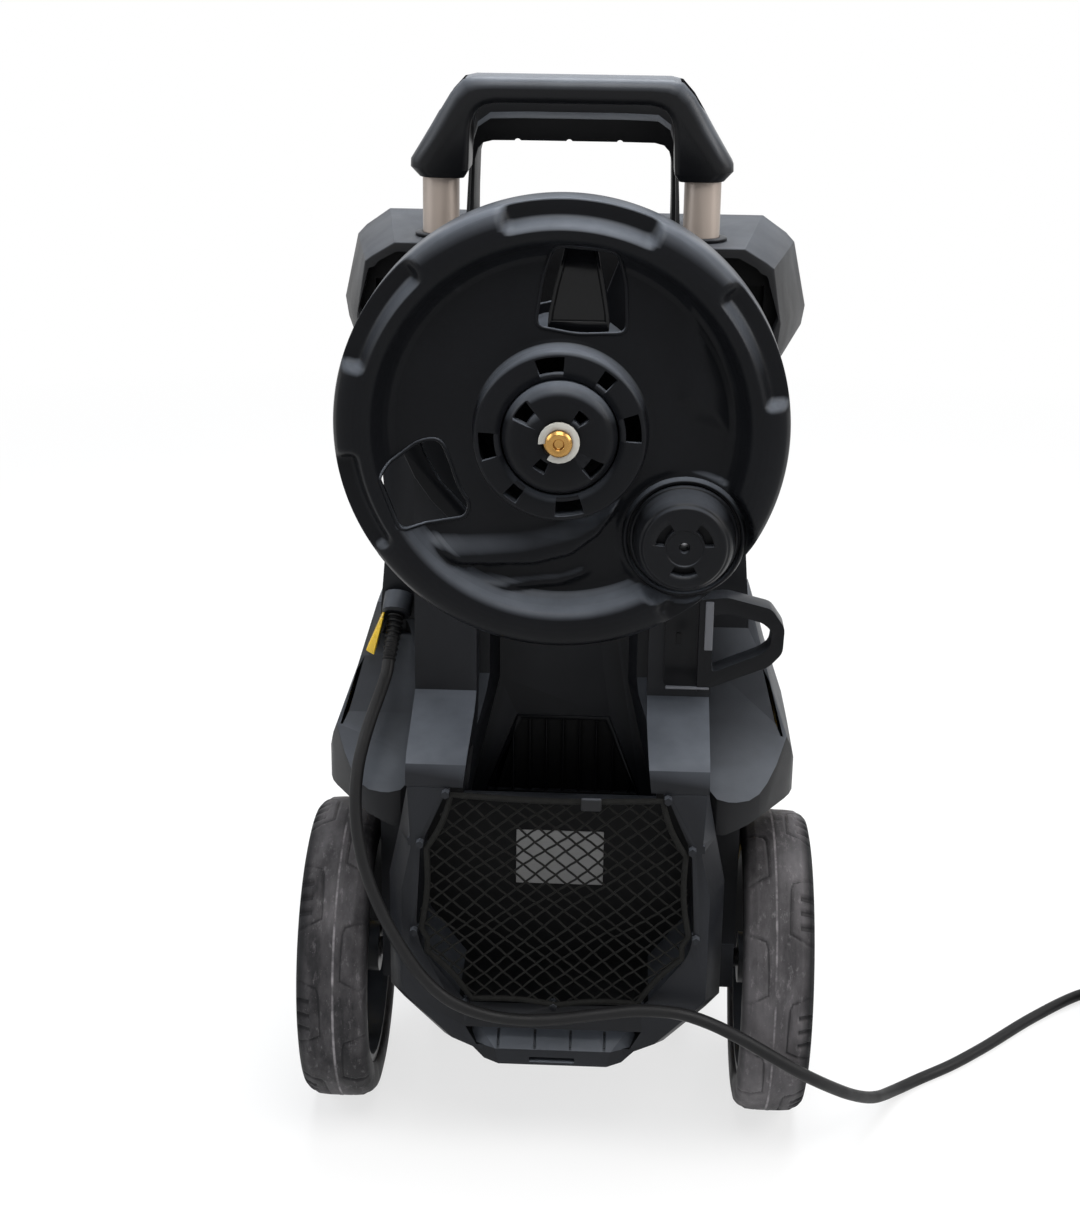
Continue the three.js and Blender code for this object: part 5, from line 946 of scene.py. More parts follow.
def tread_height(around, across):
    """Depth of the tread's grooves and notches, in millimetres, on the unrolled tread; across runs outward."""
    blocks = 8
    pitch = 2 * math.pi * WHEEL_RADIUS / blocks
    depth = np.zeros(around.shape)
    for side in (1, -1):
        shifted = (around + (pitch / 2 if side < 0 else 0)) % (blocks * pitch)
        for k in range(blocks + 1):
            centre = k * pitch
            corners = [(centre - 27, side * 26), (centre - 21, side * 9), (centre - 17, side * 7.2),
                       (centre + 13, side * 6.4), (centre + 24, side * 26)]
            near = np.abs(shifted - centre) < 30
            if near.any():
                d = np.abs(polygon_depth(shifted[near], across[near], corners))
                depth[near] = np.maximum(depth[near], 0.8 * (1 - smooth_step(d, 0.35, 1.1)))
    shifted = (around + pitch / 2) % pitch - pitch / 2
    for step in (-11, -1, 9):
        slot = np.minimum(2.6 - np.abs(shifted - step), np.minimum(across - 12.4, 22.5 - across))
        depth = np.maximum(depth, 1.8 * smooth_step(slot, 0, 1.0))
    return depth


def tyre_mesh(side):
    """A tyre with a moulded tread, as a grid round its section."""
    middle = (WHEEL_OUTER + WHEEL_INNER) / 2
    tread = [(98.6, a) for a in np.linspace(-14.5, 14.5, 30)]
    wall = [(78, 20.9), (84, 22.3), (90, 22.5), (94.2, 21.6), (96.4, 19.6), (97.3, 18.2), (97.9, 16.6)]
    section = [(r, -a) for r, a in wall] + tread + wall[::-1] + [(78, 8), (78, -8)]
    count, turns = len(section), 560
    r = np.array([s[0] for s in section])
    a = np.array([s[1] for s in section])
    crown = np.where(np.abs(a) < 15, 1.4 * (1 - (a / 19) ** 2), 0.0)
    line = np.where(np.abs(a) < 1.6, 0.5 * (1 - np.abs(a) / 1.6), 0.0)
    r = r + np.where(r > 97, np.minimum(crown, 1.2) + np.where(r > 98, line * 0.6, 0), 0)
    angles = np.arange(turns) * 2 * math.pi / turns
    around = (angles * WHEEL_RADIUS)[:, None] * np.ones(count)[None, :]
    across = np.ones(turns)[:, None] * a[None, :]
    depth = tread_height(around, across) * sizes().tread_depth * 1000
    on_tread = (r > 96)[None, :]
    radius = r[None, :] - np.where(on_tread, depth, 0)
    x = (middle + across) * side
    y = radius * np.cos(angles)[:, None]
    z = WHEEL_RADIUS + radius * np.sin(angles)[:, None]
    places = np.stack([x, y + AXLE_SHIFT, z], 2).reshape(-1, 3) / 1000
    bm = ring_skin(places, turns)
    bmesh.ops.recalc_face_normals(bm, faces=bm.faces)
    return from_bmesh("tyre", bm)


class WASHER_OT_wheels(bpy.types.Operator):
    """Tyres with their tread, rims and caps"""

    bl_idname = "washer.wheels"
    bl_label = "Wheels"

    def execute(self, context):
        for name, side in (("left", -1), ("right", 1)):
            body = f"wheel_{name}"
            piece(f"tyre_{name}_treaded", tyre_mesh(side), body, "tyre", [f"tyre_{name}"])
            rounded(f"rim_{name}", body, "black", 0.0008)
            rounded(f"wheel_cap_{name}", body, "black", 0.0008)
        return {"FINISHED"}


# ---------------------------------------------------------------- net pocket

NET_EDGE = [(64.5, 254.5), (80, 218), (83.5, 163), (80, 147), (53, 114), (2, 111),
            (-52, 114), (-80, 147), (-83.5, 163), (-80, 218), (-64.5, 254.5)]


def net_depth(x, z):
    """The net's own billow: drawn in at its pegs, standing out below its middle."""
    inner = 1.0
    for share in (1 - abs(x) / 84, (z - 111) / 45, (254 - z) / 40):
        inner *= min(1.0, max(0.0, share))
    return -90.2 + 3.0 * inner + 0.5 * math.sin(x * 0.11 + z * 0.07)


def net_lines():
    """Edges of the diamond mesh, clipped to the border, as a bmesh of wire."""
    cell = sizes().net_cell * 1000
    reach = 200
    lines = []
    for slope in (1, -1):
        for k in range(-30, 31):
            offset = k * cell
            run = []
            for step in range(-reach, reach + 1):
                x = step * 0.9
                z = 180 + slope * x * 0.86 + offset
                if inside_outline(x, z, NET_EDGE):
                    wave = (1.9 * math.sin(z * 0.047 + k * 0.9) + 1.2 * math.sin(x * 0.09 - k * 2.1)
                            + 3.2 * math.sin(x * 0.021 + z * 0.017))
                    run.append((x + 0.8 * math.sin(z * 0.1 + k), z + wave * 0.62))
                elif run:
                    lines.append(run)
                    run = []
            if run:
                lines.append(run)
    bm = bmesh.new()
    for run in lines:
        thinned = run[::4] + ([run[-1]] if (len(run) - 1) % 4 else [])
        if len(thinned) < 2:
            continue
        verts = [bm.verts.new(point(x, net_depth(x, z) + (0.5 if i % 2 else -0.3), z))
                 for i, (x, z) in enumerate(thinned)]
        for first, second in zip(verts, verts[1:]):
            bm.edges.new((first, second))
    return from_bmesh("net_lines", bm, False)


def inside_outline(x, z, corners):
    inside = False
    count = len(corners)
    for i in range(count):
        ax, az = corners[i]
        bx, bz = corners[(i + 1) % count]
        if (az > z) != (bz > z) and x < (bx - ax) * (z - az) / (bz - az) + ax:
            inside = not inside
    return inside


def border_line():
    """The closed line of the net's border, drawn in a little between its pegs."""
    corners = [Vector((x, z)) for x, z in NET_EDGE]
    places = []
    for i, corner in enumerate(corners):
        following = corners[(i + 1) % len(corners)]
        steps = max(2, round((following - corner).length / 7))
        for k in range(steps):
            spot = corner.lerp(following, k / steps)
            bow = math.sin(math.pi * k / steps)
            inward = (Vector((0, 180)) - spot).normalized() * 2.2 * bow
            spot = spot + inward
            places.append(point(spot.x, -90.6, spot.y))
    return wire_loop("net_border", places)


class WASHER_OT_net_pocket(bpy.types.Operator):
    """Lower rear housing with its pocket, the net over it, its tag and the bare plate inside"""

    bl_idname = "washer.net_pocket"
    bl_label = "Net pocket"

    def execute(self, context):
        self.tub()
        strands = strand_tree("net")
        mesh = strands.grown("net_mesh", net_lines(), {"Strand radius": sizes().net_strand, "Sides": 5})
        border = strands.grown("net_edge", border_line(), {"Strand radius": sizes().net_border, "Sides": 10})
        whole = joined_mesh("net_whole", [mesh, border])
        piece("accessory_net_knotted", whole, "chassis", "net", ["accessory_net"])
        tag = box_prism([(15, 247.5), (27.5, 247.5), (27.5, 256), (15, 256)], -94.2, -91.5, facing_rear)
        tag_mesh = settled(from_bmesh("net_tag", tag, False), all_edges_bevel(0.0012, 3))
        piece("net_tag", tag_mesh, "chassis", "head")
        self.step()
        plate = box_prism([(-27.5, 166), (29, 166), (29, 204), (-27.5, 204)], -30.7, -29.9, facing_rear)
        plate_mesh = settled(from_bmesh("bare_plate", plate, False), all_edges_bevel(0.0003, 2))
        piece("bare_plate", plate_mesh, "chassis", "plate")
        return {"FINISHED"}

    def tub(self):
        """The housing, less the foot of its step, with the inside of the pocket in a darker finish that paints shade
        into it.
        """
        made = rounded("net_tub", "chassis", ["tub", "deep"], 0.0011)
        low = box_prism([(-75, 50), (75, 50), (75, 68.5), (-75, 68.5)], -110, -62, facing_rear)
        made.data = cut_by(made.data, [low])
        refinish(made.data, ["tub", "deep"])
        # Faces inside the pocket take the darker finish, a painted shade.
        for face in made.data.polygons:
            x, z = face.center.x * 1000, face.center.z * 1000
            depth = face.center.y * 1000 - AXLE_SHIFT
            in_pocket = inside_outline(x * 0.97, z, NET_EDGE) or abs(x) < 72 and 68 < z < 122
            face.material_index = 1 if -86.5 < depth < -28 and in_pocket else 0

    def step(self):
        """The sloped foot step under the pocket, with four grooves and a slot."""
        places = []
        for side in (1, -1):
            places += [(49 * side, -79, 90), (37 * side, -91.4, 78.6), (34.6 * side, -93, 68.6), (57 * side, -82, 79.5),
                       (49 * side, -60, 90), (34.6 * side, -60, 68.6), (57 * side, -60, 79.5), (44 * side, -89, 70)]
        bm = bmesh.new()
        for place in places:
            bm.verts.new(point(*place))
        bmesh.ops.convex_hull(bm, input=bm.verts)
        bmesh.ops.recalc_face_normals(bm, faces=bm.faces)
        cutters = []
        for x in (-35, -11.6, 11.2, 32.8):
            cutters.append(lofted([
                [(x - 0.8, -81.5, 90), (x + 0.8, -81.5, 90), (x + 0.8, -81.5, 84.6), (x - 0.8, -81.5, 84.6)],
                [(x - 0.8, -91, 81.4), (x + 0.8, -91, 81.4), (x + 0.8, -91, 76.4), (x - 0.8, -91, 76.4)]]))
        slot = softened_loop([(-15, 70.4), (14, 70.4), (14, 73.6), (-15, 73.6)], 0.8, 3)
        cutters.append(box_prism(slot, -96, -86, facing_rear))
        mesh = cut_by(from_bmesh("step", bm, False), cutters)
        piece("foot_step", creased(mesh, 0.0009, 2, 20), "chassis", "shell")


# ---------------------------------------------------------------- shells


class WASHER_OT_shells(bpy.types.Operator):
    """Base, rear shell, head, fenders and front cover"""

    bl_idname = "washer.shells"
    bl_label = "Shells"

    def execute(self, context):
        rounded("base_tray", "chassis", "shell", 0.0016)
        rounded("rear_shell", "chassis", "shell", 0.0032, 4)
        self.head()
        for name, side in (("left", -1), ("right", 1)):
            fender = rounded(f"fender_{name}", "chassis", "fender", 0.0018, 3)
            gap = [(126.5 * side, 314), (131.4 * side, 305.5), (142.6 * side, 267), (135.4 * side, 281)]
            fender.data = cut_by(fender.data, [box_prism(gap, -30, 30, facing_rear)])
        sliver = [(-113.4, 343), (-114.8, 343), (-124.6, 321), (-119.5, 318)]
        edge = from_bmesh("cover_edge", box_prism(sliver, -21, 4, facing_rear), False)
        piece("cover_edge", creased(edge, 0.0012, 3), "chassis", "yellow")
        rounded("front_cover", "chassis", "yellow", 0.0016, 3)
        rounded("front_foot_left", "chassis", "rubber", 0.001)
        rounded("front_foot_right", "chassis", "rubber", 0.001)
        return {"FINISHED"}

    def head(self):
        """The head with a hollow in the back of each raised corner, whose back faces take a darker finish as painted
        shade.
        """
        made = rounded("shoulder_block", "chassis", ["head", "deep"], 0.0018, 3)
        whole = made.data
        cutters = []
        for side, outline in (
            (1, [(70, 574.5), (99.5, 574.5), (110.8, 568.5), (113, 565.5), (116.8, 564.5), (124.6, 539),
                 (121, 527), (104, 510), (70, 510)]),
            (-1, [(-70, 574.5), (-102, 574.5), (-113, 568.5), (-115, 565.5), (-118.8, 564.5), (-125.4, 539),
                  (-122, 527), (-106, 510), (-70, 510)]),
        ):
            cutters.append(box_prism(softened_loop(outline, 1.5, 3), -34, -11.5, facing_rear))
            hole = [(107 * side, 541), (116 * side, 541), (116 * side, 556), (107 * side, 556)]
            cutters.append(box_prism(hole, -14, -5, facing_rear))
        made.data = cut_by(whole, cutters)
        refinish(made.data, ["head", "deep"])
        # Flat back faces of the hollows take the darker finish, a painted shade.
        for face in made.data.polygons:
            depth = face.center.y * 1000 - AXLE_SHIFT
            at_back = -12.2 < depth < -4 and abs(face.center.x) < 0.127
            face.material_index = 1 if at_back and abs(face.normal.y) > 0.9 else 0


class WASHER_OT_grille(bpy.types.Operator):
    """Slatted grille in the recessed panel, with a dark screen behind it that paints the shade inside"""

    bl_idname = "washer.grille"
    bl_label = "Grille"

    def execute(self, context):
        rounded("grille", "chassis", "black", 0.0004, 1)
        # A dark screen behind the grille, in the darker recess finish, stands for the shade inside the panel.
        screen = box_prism([(-52, 206.5), (52, 206.5), (30, 263.5), (-30, 263.5)], 24.4, 25.6, facing_rear)
        piece("grille_shade_screen", from_bmesh("grille_shade_screen", screen, False), "chassis", "deep")
        return {"FINISHED"}


GRIP_STATIONS = [
    ((61, 615.6), (93, 615.6)), ((60.7, 620), (95.6, 621.5)), ((60.4, 625.5), (95.4, 626)), ((60, 636), (89.4, 635.6)),
    ((59.6, 644), (83.4, 645.4)), ((58.8, 648.6), (77.6, 655.2)), ((57.2, 652.6), (71.6, 664.8)),
    ((54.8, 655.8), (64.6, 672.4)), ((51, 658), (57.6, 674)), ((45, 659.2), (47, 674)), ((24, 659.3), (24, 674)),
    ((0, 659.3), (0, 674)),
]
CARRY_STATIONS = [
    ((60.5, 580.3), (66, 580.3)), ((60.3, 600), (65, 600)), ((59.6, 622), (63.6, 624)), ((57.8, 628.6), (63.2, 640)),
    ((54.6, 632), (61.6, 652)), ((49, 633.4), (52, 661)), ((30, 633.6), (31, 662)), ((0, 633.6), (0, 662)),
]


class WASHER_OT_handles(bpy.types.Operator):
    """Telescopic handle, its sleeves, and the fixed carry handle"""

    bl_idname = "washer.handles"
    bl_label = "Handles"

    def execute(self, context):
        for name, side in (("left", -1), ("right", 1)):
            centre = (TUBE[0] * side, TUBE[1])
            profile = softened([(9.5, 284), (11, 284), (11, 633.7), (9.5, 633.7)], 0.4, 2)
            piece(f"handle_tube_{name}_drawn", from_bmesh("tube", lathe(profile, "Z", centre, 64)),
                  "handle", "tube", [f"handle_tube_{name}"])
            sleeve = softened([(11.3, 505), (13.6, 505), (13.6, 580.3), (15.6, 580.3), (15.6, 582), (13.6, 582.6),
                               (11.3, 582.6)], 0.4, 2)
            piece(f"guide_sleeve_{name}_turned", from_bmesh("sleeve", lathe(sleeve, "Z", centre, 64)),
                  "chassis", "black", [f"guide_sleeve_{name}"])
        self.grip()
        self.carry()
        return {"FINISHED"}

    def grip(self):
        stations = both_sides(GRIP_STATIONS)
        sections = []
        for i, (inner, outer) in enumerate(stations):
            end = 2.5 if i in (0, len(stations) - 1) else 0.0
            toward = (Vector(outer) - Vector(inner)).normalized() * end
            radii = (10.5, 7, 4, 4)
            sections.append(bar_section((Vector(inner) + toward)[:], (Vector(outer) - toward)[:],
                                        -11 + end, 26 - end, radii))
        mesh = from_bmesh("grip", lofted(sections))
        cutters = []
        for side in (1, -1):
            outline = [(90.5, 640.5), (97, 645), (70, 688), (62.2, 672.4), (71, 662)]
            cutters.append(box_prism(softened_loop([(x * side, z) for x, z in outline], 2.5, 4), -4, 19, facing_rear))
            bore = [(0, 610), (11.2, 610), (11.2, 633.9), (0, 633.9)]
            cutters.append(lathe(bore, "Z", (TUBE[0] * side, TUBE[1]), 48))
        piece("handle_grip_moulded", creased(cut_by(mesh, cutters), 0.0009),
              "handle", "grip", ["handle_grip"])

    def carry(self):
        sections = []
        for inner, outer in both_sides(CARRY_STATIONS):
            ring = bar_section(inner, outer, 30, 84, (1.2, 3, 1.6, 1.6), 3)
            low, high = Vector((inner[0], inner[1])), Vector((outer[0], outer[1]))
            ledge = []
            for share, depth in ((0.47, 30), (0.51, 31.4), (0.58, 37.5), (1.0, 39.5)):
                spot = low.lerp(high, share)
                ledge.append((spot.x, depth, spot.y))
            sections.append(ring[4:] + ledge)
        mesh = from_bmesh("carry", lofted(sections))
        notches = [lathe([(0, 26), (2, 26), (2, 88), (0, 88)], "Y", (x, 632.9), 24) for x in (-33.8, -2.6, 28)]
        piece("carry_handle_moulded", creased(cut_by(mesh, notches), 0.0007),
              "chassis", "head", ["carry_handle"])


# ---------------------------------------------------------------- reel


REEL_PROFILE = [
    (33, -140), (40, -140), (45.4, -140), (47.2, -139.4), (48, -137.6), (48.1, -131), (48.4, -126), (49.6, -124.2),
    (52, -123.5), (62, -122.2), (74, -120.2), (86, -118.2), (93.5, -117), (96.5, -117.6), (100, -121), (103, -125.6),
    (104.6, -129.2), (106, -131.2), (108.5, -132.6), (112, -133.4), (115.5, -133.2), (119, -132.2), (122, -130.8),
    (124.6, -128.8), (126.6, -126), (127.5, -122.5), (127.7, -118), (127.7, -98),
]
KNOB_FLOOR = -120.7  # depth of the pocket that the crank knob turns in
FINGER_SPANS = [(64, 107), (131, 165), (7, 43), (186, 216), (-62, -50)]
SWEEP_TOP = [(-100, -63), (-95, -62.8), (-53, -59.6), (-23, -54.9), (4, -47), (22, -39.2), (36, -32)]
SWEEP_LOW = [(-100, -74), (-89, -75.4), (-53, -77.6), (-14, -75.4), (7, -69), (22, -56.5), (36, -36)]
FOLD_TOP = [(-72, -84), (-30, -87), (0, -83), (20, -76)]
FOLD_LOW = [(-72, -89), (-30, -93.5), (0, -90.5), (20, -82)]
RIDGE_BLADE = [(44, 96), (58, 88), (66, 70), (66, 44), (62, 18), (72, 6), (96, -4), (95, 26), (86, 52),
               (74, 72), (58, 94)]


def blade(x, z, top, low, height, fall):
    """A blade that rises from its top line to a crest at its low line and falls off below it, for arrays."""
    upper = np.interp(x, [p[0] for p in top], [p[1] for p in top])
    lower = np.interp(x, [p[0] for p in low], [p[1] for p in low])
    rise = smooth_step((upper - z) / np.maximum(upper - lower, 1), 0, 1)
    drop = 1 - smooth_step(lower - z, 0.5, fall)
    ends = smooth_step(x, top[0][0], top[0][0] + 7) * (1 - smooth_step(x, top[-1][0] - 8, top[-1][0]))
    return height * rise * drop * ends


def disc_relief(x, z):
    """How far the disc's face stands out beyond its turned profile, in millimetres, for arrays."""
    height = sizes().blade_height * 1000
    out = blade(x, z, SWEEP_TOP, SWEEP_LOW, 1.15 * height, 4.5)
    out = np.maximum(out, blade(x, z, FOLD_TOP, FOLD_LOW, 0.4 * height, 3))
    return np.maximum(out, 0.75 * height * smooth_step(polygon_depth(x, z, RIDGE_BLADE), -2, 13))


def face_depth(radius):
    return np.interp(radius, [p[0] for p in REEL_PROFILE], [p[1] for p in REEL_PROFILE])


def reel_disc_mesh():
    """The front disc as a polar grid over its profile, with blades, recesses and a knob pocket."""
    extra = list(np.arange(50, 104, 1.6)) + list(np.arange(110, 126, 1.5))
    r = np.array(sorted({*[p[0] for p in REEL_PROFILE[:-2]], *[round(float(v), 2) for v in extra]}))
    d = face_depth(r)
    r = np.append(r, [127.7, 127.7])
    d = np.append(d, [-118, -98])
    turns = 360
    angles = np.arange(turns) * 2 * math.pi / turns
    radius = r[None, :] * np.ones(turns)[:, None]
    depth = d[None, :] * np.ones(turns)[:, None]
    x = radius * np.cos(angles)[:, None]
    z = radius * np.sin(angles)[:, None]
    face = (radius > 50) & (radius < 104)
    fade = smooth_step(radius, 49, 53) * (1 - smooth_step(radius, 95, 103))
    depth = depth - np.where(face, disc_relief(x, z) * fade, 0)
    degrees = np.degrees(angles)[:, None] * np.ones(radius.shape)
    window = np.zeros(radius.shape)
    for low, high in FINGER_SPANS:
        turned = (degrees - low) % 360
        span = high - low
        edge = np.minimum(turned, span - turned)
        window = np.maximum(window, np.where(turned < span, smooth_step(edge, 0, 3.4), 0))
    pocket_depth = sizes().finger_depth * 1000
    floor = -133.4 + 2.1 * pocket_depth * smooth_step(radius, 111.5, 119.5)
    depth = np.where(radius > 110, depth + window * np.clip(floor - depth, 0, None), depth)
    away = np.hypot(x - KNOB[0], z - (KNOB[1] - REEL_Z))
    pocket = 1 - smooth_step(away, 36.5, 40)
    floored = depth + (KNOB_FLOOR - depth) * pocket
    depth = np.where((depth < KNOB_FLOOR) & (radius > 50), floored, depth)
    depth = np.where((depth >= KNOB_FLOOR) & (radius < 110), depth + (KNOB_FLOOR - depth) * pocket, depth)
    places = np.stack([x, depth + AXLE_SHIFT, z + REEL_Z], 2).reshape(-1, 3) / 1000
    count = len(r)
    faces = []
    for i in range(turns):
        j = (i + 1) % turns
        for k in range(count - 1):
            faces.append((i * count + k, j * count + k, j * count + k + 1, i * count + k + 1))
    bm = bmesh.new()
    made = [bm.verts.new(p) for p in places]
    for one in faces:
        bm.faces.new([made[i] for i in one])
    bmesh.ops.recalc_face_normals(bm, faces=bm.faces)
    total = sum((f.normal.y * f.calc_area() for f in bm.faces))
    if total > 0:
        bmesh.ops.reverse_faces(bm, faces=bm.faces)
    mesh = from_bmesh("reel_disc", bm)
    return settled(mesh, ("SOLIDIFY", {"thickness": 0.003, "offset": -1.0, "use_even_offset": False}))


def window_lip(outline, name):
    """A rounded bead that follows a window's edge on the disc's face."""
    places = []
    for x, z in outline:
        radius = math.hypot(x, z - REEL_Z)
        out = float(disc_relief(np.array([x]), np.array([z - REEL_Z]))[0]) * (1 if radius < 95 else 0)
        places.append(point(x, float(face_depth(radius)) - out + 0.1, z))
    return strand_tree("reel").grown(name, wire_loop(name, places), {"Strand radius": 0.0011, "Sides": 8})


UPPER_WINDOW = [(-15, 551.5), (8, 547.6), (35.5, 548.5), (34.5, 575), (29, 594.5), (-5, 596.5), (-11.5, 578)]
LOWER_WINDOW = [(-98, 470.5), (-79, 485), (-67.5, 487), (-62.5, 476), (-57, 459), (-50.5, 449), (-53, 441),
                (-80, 435), (-89.5, 435), (-101.5, 465)]


def arc_slot(centre, inner, outer, middle, half, low, high):
    """A slot along a ring, as a closed cutter."""
    steps = 8
    outline = []
    for k in range(steps + 1):
        angle = math.radians(middle - half + 2 * half * k / steps)
        outline.append((centre[0] + outer * math.cos(angle), centre[1] + outer * math.sin(angle)))
    for k in range(steps, -1, -1):
        angle = math.radians(middle - half + 2 * half * k / steps)
        outline.append((centre[0] + inner * math.cos(angle), centre[1] + inner * math.sin(angle)))
    return box_prism(outline, low, high, facing_rear)


class WASHER_OT_reel(bpy.types.Operator):
    """Front disc, hub, drum, rear disc and hose guide of the reel"""

    bl_idname = "washer.reel"
    bl_label = "Hose reel"

    def execute(self, context):
        disc = reel_disc_mesh()
        windows = [softened_loop(corners, 5.5, 5) for corners in (UPPER_WINDOW, LOWER_WINDOW)]
        cutters = [box_prism(window, -142, -104, facing_rear) for window in windows]
        hub = (0, REEL_Z)
        for middle, half in ((98, 10.5), (8, 10.5), (-172, 10.5), (-82, 10.5), (52, 5.5), (-128, 5.5)):
            cutters.append(arc_slot(hub, 36.4, 45, middle, half, -144, -130))
        disc = cut_by(disc, cutters)
        seat = softened([(31.8, -119.5), (32, -123.4), (32.8, -124.3), (33.8, -124.3), (34.8, -122.8),
                         (35.6, -119.5)], 0.8, 3)
        lips = [window_lip(window, f"window_lip_{i}") for i, window in enumerate(windows)]
        parts = [disc, from_bmesh("knob_seat", lathe(seat, "Y", KNOB, 96)), *lips]
        piece("reel_disc", joined_mesh("reel_disc", parts), "reel", "reel", ["reel_front_flange"])
        self.knob_pin()
        cap = softened([(9.3, -148), (22.5, -148), (26.6, -146.9), (30, -144), (32, -139.5), (32.7, -134),
                        (32.7, -121), (29.5, -121), (29.4, -141), (9.3, -141)], 1.6, 4)
        cap_mesh = from_bmesh("hub_cap", lathe(cap, "Y", hub, 96))
        slots = [arc_slot(hub, *span, -151, -139) for span in (
            (20, 28, -39, 12), (20, 28, 143, 12), (14, 20.5, 48, 11), (14, 20.5, -124, 11))]
        piece("reel_hub_cap_moulded", cut_by(cap_mesh, slots), "reel", "reel", ["reel_hub_cap"])
        rounded("reel_drum", "reel", "reel", 0.0008)
        rounded("reel_rear_flange", "reel", "reel", 0.0008)
        self.guide()
        return {"FINISHED"}

    def guide(self):
        """A glossy open tray behind the upper window, wider and deeper at its foot."""
        tray = []
        for z, left, right, front in ((546, -8.2, 25.2, -111.4), (549, -8.6, 25.6, -111.4), (556, -8.2, 25.2, -110.2),
                                      (570, -5.4, 22.6, -106.5), (584, -1.8, 19.6, -101.5), (598, 1.4, 16.8, -96)):
            tray.append([(left, -86, z), (left, front, z), (left + 1.8, front, z), (left + 2.6, front + 4.2, z),
                         (right - 2.6, front + 4.2, z), (right - 1.8, front, z), (right, front, z), (right, -86, z)])
        whole = lofted(tray)
        outline = softened_loop([(-8, 546), (25, 546), (24.4, 552.5), (-7.4, 552.5)], 1.5, 3)
        foot = box_prism(outline, -111.5, -100, facing_rear)
        mesh = joined_mesh("guide", [from_bmesh("tray", whole), from_bmesh("foot", foot)])
        piece("hose_guide_moulded", creased(mesh, 0.001, 3), "reel", "gloss", ["hose_guide"])

    def knob_pin(self):
        profile = softened([(0, -119), (4.2, -119), (4.2, -134), (0, -134)], 0.5, 2)
        piece("knob_pin", from_bmesh("knob_pin", lathe(profile, "Y", KNOB, 32)), "reel", "steel")


class WASHER_OT_spindle(bpy.types.Operator):
    """Brass spindle, retaining clip and the plate that carries the reel"""

    bl_idname = "washer.spindle"
    bl_label = "Spindle"

    def execute(self, context):
        profile = softened([
            (0, -153.4), (2.6, -153.4), (3.1, -155.6), (5.6, -156), (7.5, -154.4), (7.6, -152.5), (6.9, -152.3),
            (6.9, -149.3), (8.7, -148.6), (8.7, 26), (0, 26)], 0.35, 2)
        piece("reel_spindle_turned", from_bmesh("spindle", lathe(profile, "Y", (0, REEL_Z), 64)),
              "chassis", "brass", ["reel_spindle"])
        clip = rounded("retaining_clip", "chassis", "clip", 0.0005)
        for vertex in clip.data.vertices:
            vertex.co.x *= 0.9
            vertex.co.z = REEL_Z / 1000 + (vertex.co.z - REEL_Z / 1000) * 0.9
        rounded("reel_carrier", "chassis", "black", 0.001)
        rounded("accessory_hook", "chassis", "black", 0.0016, 3)
        # The rail and lip take the lighter copy of the head plastic as a painted highlight; the slot takes the darker
        # recess finish as painted shade.
        for name, finish, outline, low, high in (
            ("hook_rail", "worn", [(88, 335.5), (93, 335.5), (93, 367), (88, 367)], -43.4, -40),
            ("hook_lip", "worn", [(65, 309.2), (92, 309.2), (92, 310.6), (65, 310.6)], -43, -40),
            ("hook_slot", "deep", [(70.4, 338.4), (73.6, 338.4), (73.6, 346), (70.4, 346)], -42.3, -40),
        ):
            bar = from_bmesh(name, box_prism(outline, low, high, facing_rear), False)
            piece(name, creased(bar, 0.0005, 2), "chassis", finish)
        return {"FINISHED"}


class WASHER_OT_crank_knob(bpy.types.Operator):
    """Crank knob with its collar and arc slots"""

    bl_idname = "washer.crank_knob"
    bl_label = "Crank knob"

    def execute(self, context):
        profile = softened([
            (4.5, -121), (30.8, -121), (31, -123.4), (30.2, -124.6), (29.3, -125), (28.8, -127), (28.2, -132.5),
            (26.9, -137.6), (25.4, -140.4), (24.2, -141.2), (23.2, -143.1), (21.4, -143.5), (10.6, -143.5),
            (10.1, -142.4), (2.9, -142.4), (2.7, -138.6), (4.5, -138.6)], 0.8, 3)
        mesh = from_bmesh("crank_knob", lathe(profile, "Y", KNOB, 96))
        slots = [arc_slot(KNOB, 11.4, 16.4, middle, 27, -146, -137.5) for middle in (148, 32, -90)]
        piece("crank_knob_moulded", cut_by(mesh, slots), "knob", "knob", ["crank_knob"])
        return {"FINISHED"}


# ---------------------------------------------------------------- hidden and front pieces


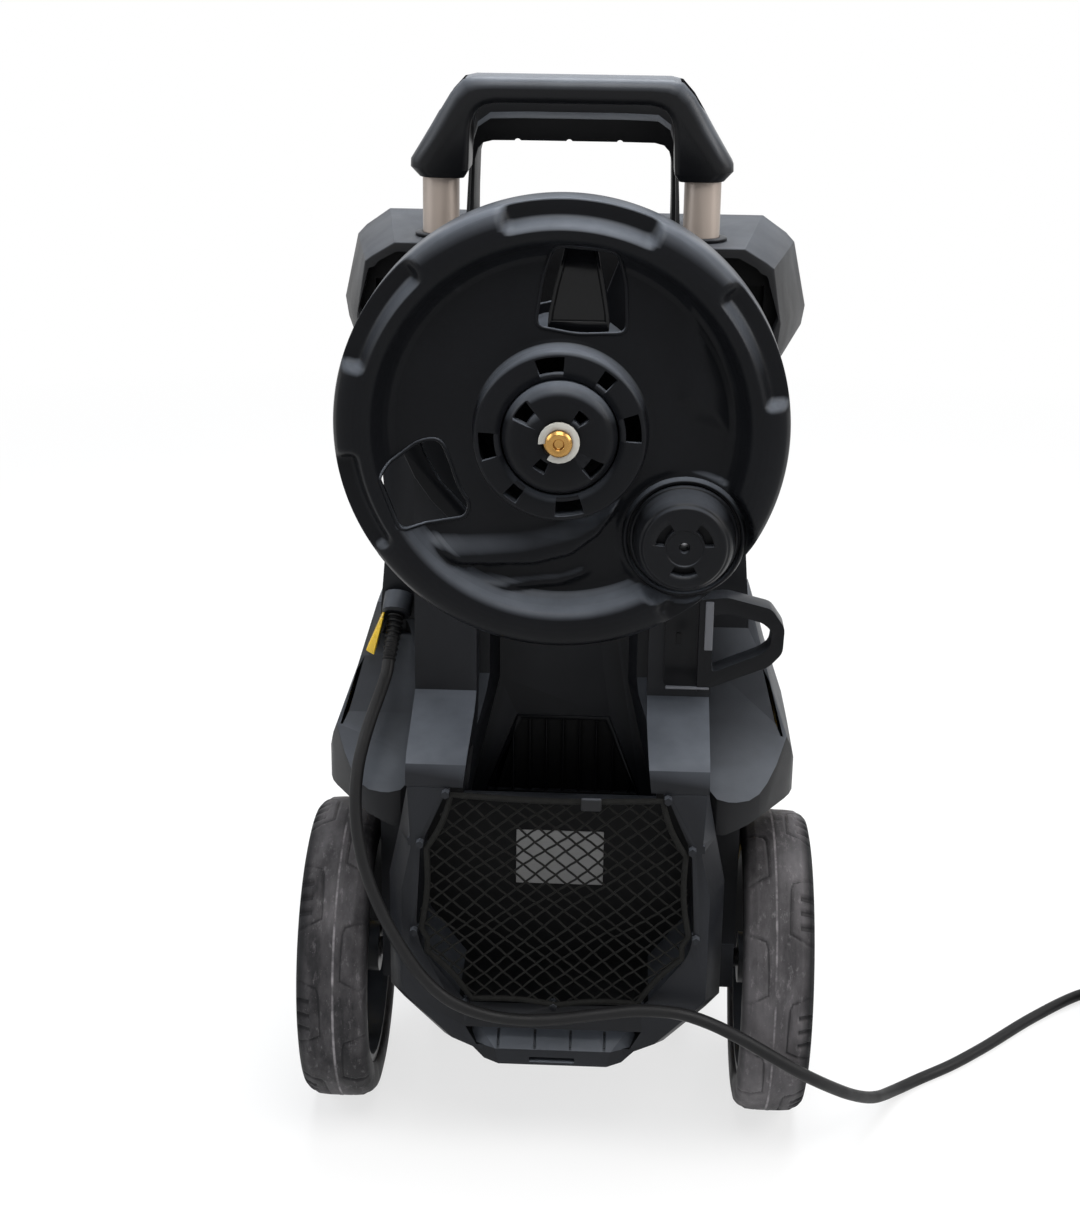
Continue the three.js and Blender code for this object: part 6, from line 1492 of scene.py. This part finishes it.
class WASHER_OT_inner_set(bpy.types.Operator):
    """Pump, motor, switch, inlet and axle"""

    bl_idname = "washer.inner_set"
    bl_label = "Pump and motor"

    def execute(self, context):
        for node, finish, slot in (
            ("pump_head", "alloy", "aluminium"), ("pump_case", "alloy", "aluminium"),
            ("motor_housing", "alloy", "aluminium"), ("motor_end_bell", "alloy", "aluminium"),
            ("motor_stator", "alloy", "aluminium"), ("pump_piston_1", "steel", "steel"),
            ("pump_piston_2", "steel", "steel"), ("pump_piston_3", "steel", "steel"),
            ("axle", "steel", "steel"), ("switch_housing", "black", "black_plastic"),
            ("inlet_coupling", "black", "black_plastic"), ("outlet_elbow", "brass", "brass"),
            ("link_hose", "rubber", "rubber"),
        ):
            rounded(node, "chassis", finish, 0.0005, 1)
        rounded("motor_rotor", "rotor", "steel", 0.0005, 1)
        rounded("power_switch_knob", "switch", "black", 0.0012, 3)
        return {"FINISHED"}


class WASHER_PT_panel(bpy.types.Panel):
    """Lists the washer's pieces, sizes and colours"""

    bl_idname = "WASHER_PT_panel"
    bl_label = "Pressure washer"
    bl_space_type = "VIEW_3D"
    bl_region_type = "UI"
    bl_category = "Washer"

    def draw(self, context):
        layout = self.layout
        for operator in OPERATORS:
            layout.operator(operator.bl_idname)
        for group in (context.scene.washer_sizes, context.scene.washer_colours):
            box = layout.box()
            for name in group.__annotations__:
                box.prop(group, name)


OPERATORS = (
    WASHER_OT_stage, WASHER_OT_power_cord, WASHER_OT_wheels, WASHER_OT_net_pocket, WASHER_OT_shells,
    WASHER_OT_grille, WASHER_OT_handles, WASHER_OT_reel, WASHER_OT_spindle, WASHER_OT_crank_knob,
    WASHER_OT_inner_set,
)
CLASSES = (WasherSizes, WasherColours, *OPERATORS, WASHER_PT_panel)


def register():
    for one in CLASSES:
        bpy.utils.register_class(one)
    bpy.types.Scene.washer_sizes = bpy.props.PointerProperty(type=WasherSizes)
    bpy.types.Scene.washer_colours = bpy.props.PointerProperty(type=WasherColours)


def unregister():
    del bpy.types.Scene.washer_sizes
    del bpy.types.Scene.washer_colours
    for one in reversed(CLASSES):
        bpy.utils.unregister_class(one)


def main():
    register()
    make_finishes()
    for operator in OPERATORS:
        group, name = operator.bl_idname.split(".")
        getattr(getattr(bpy.ops, group), name)()


if __name__ == "__main__":
    main()
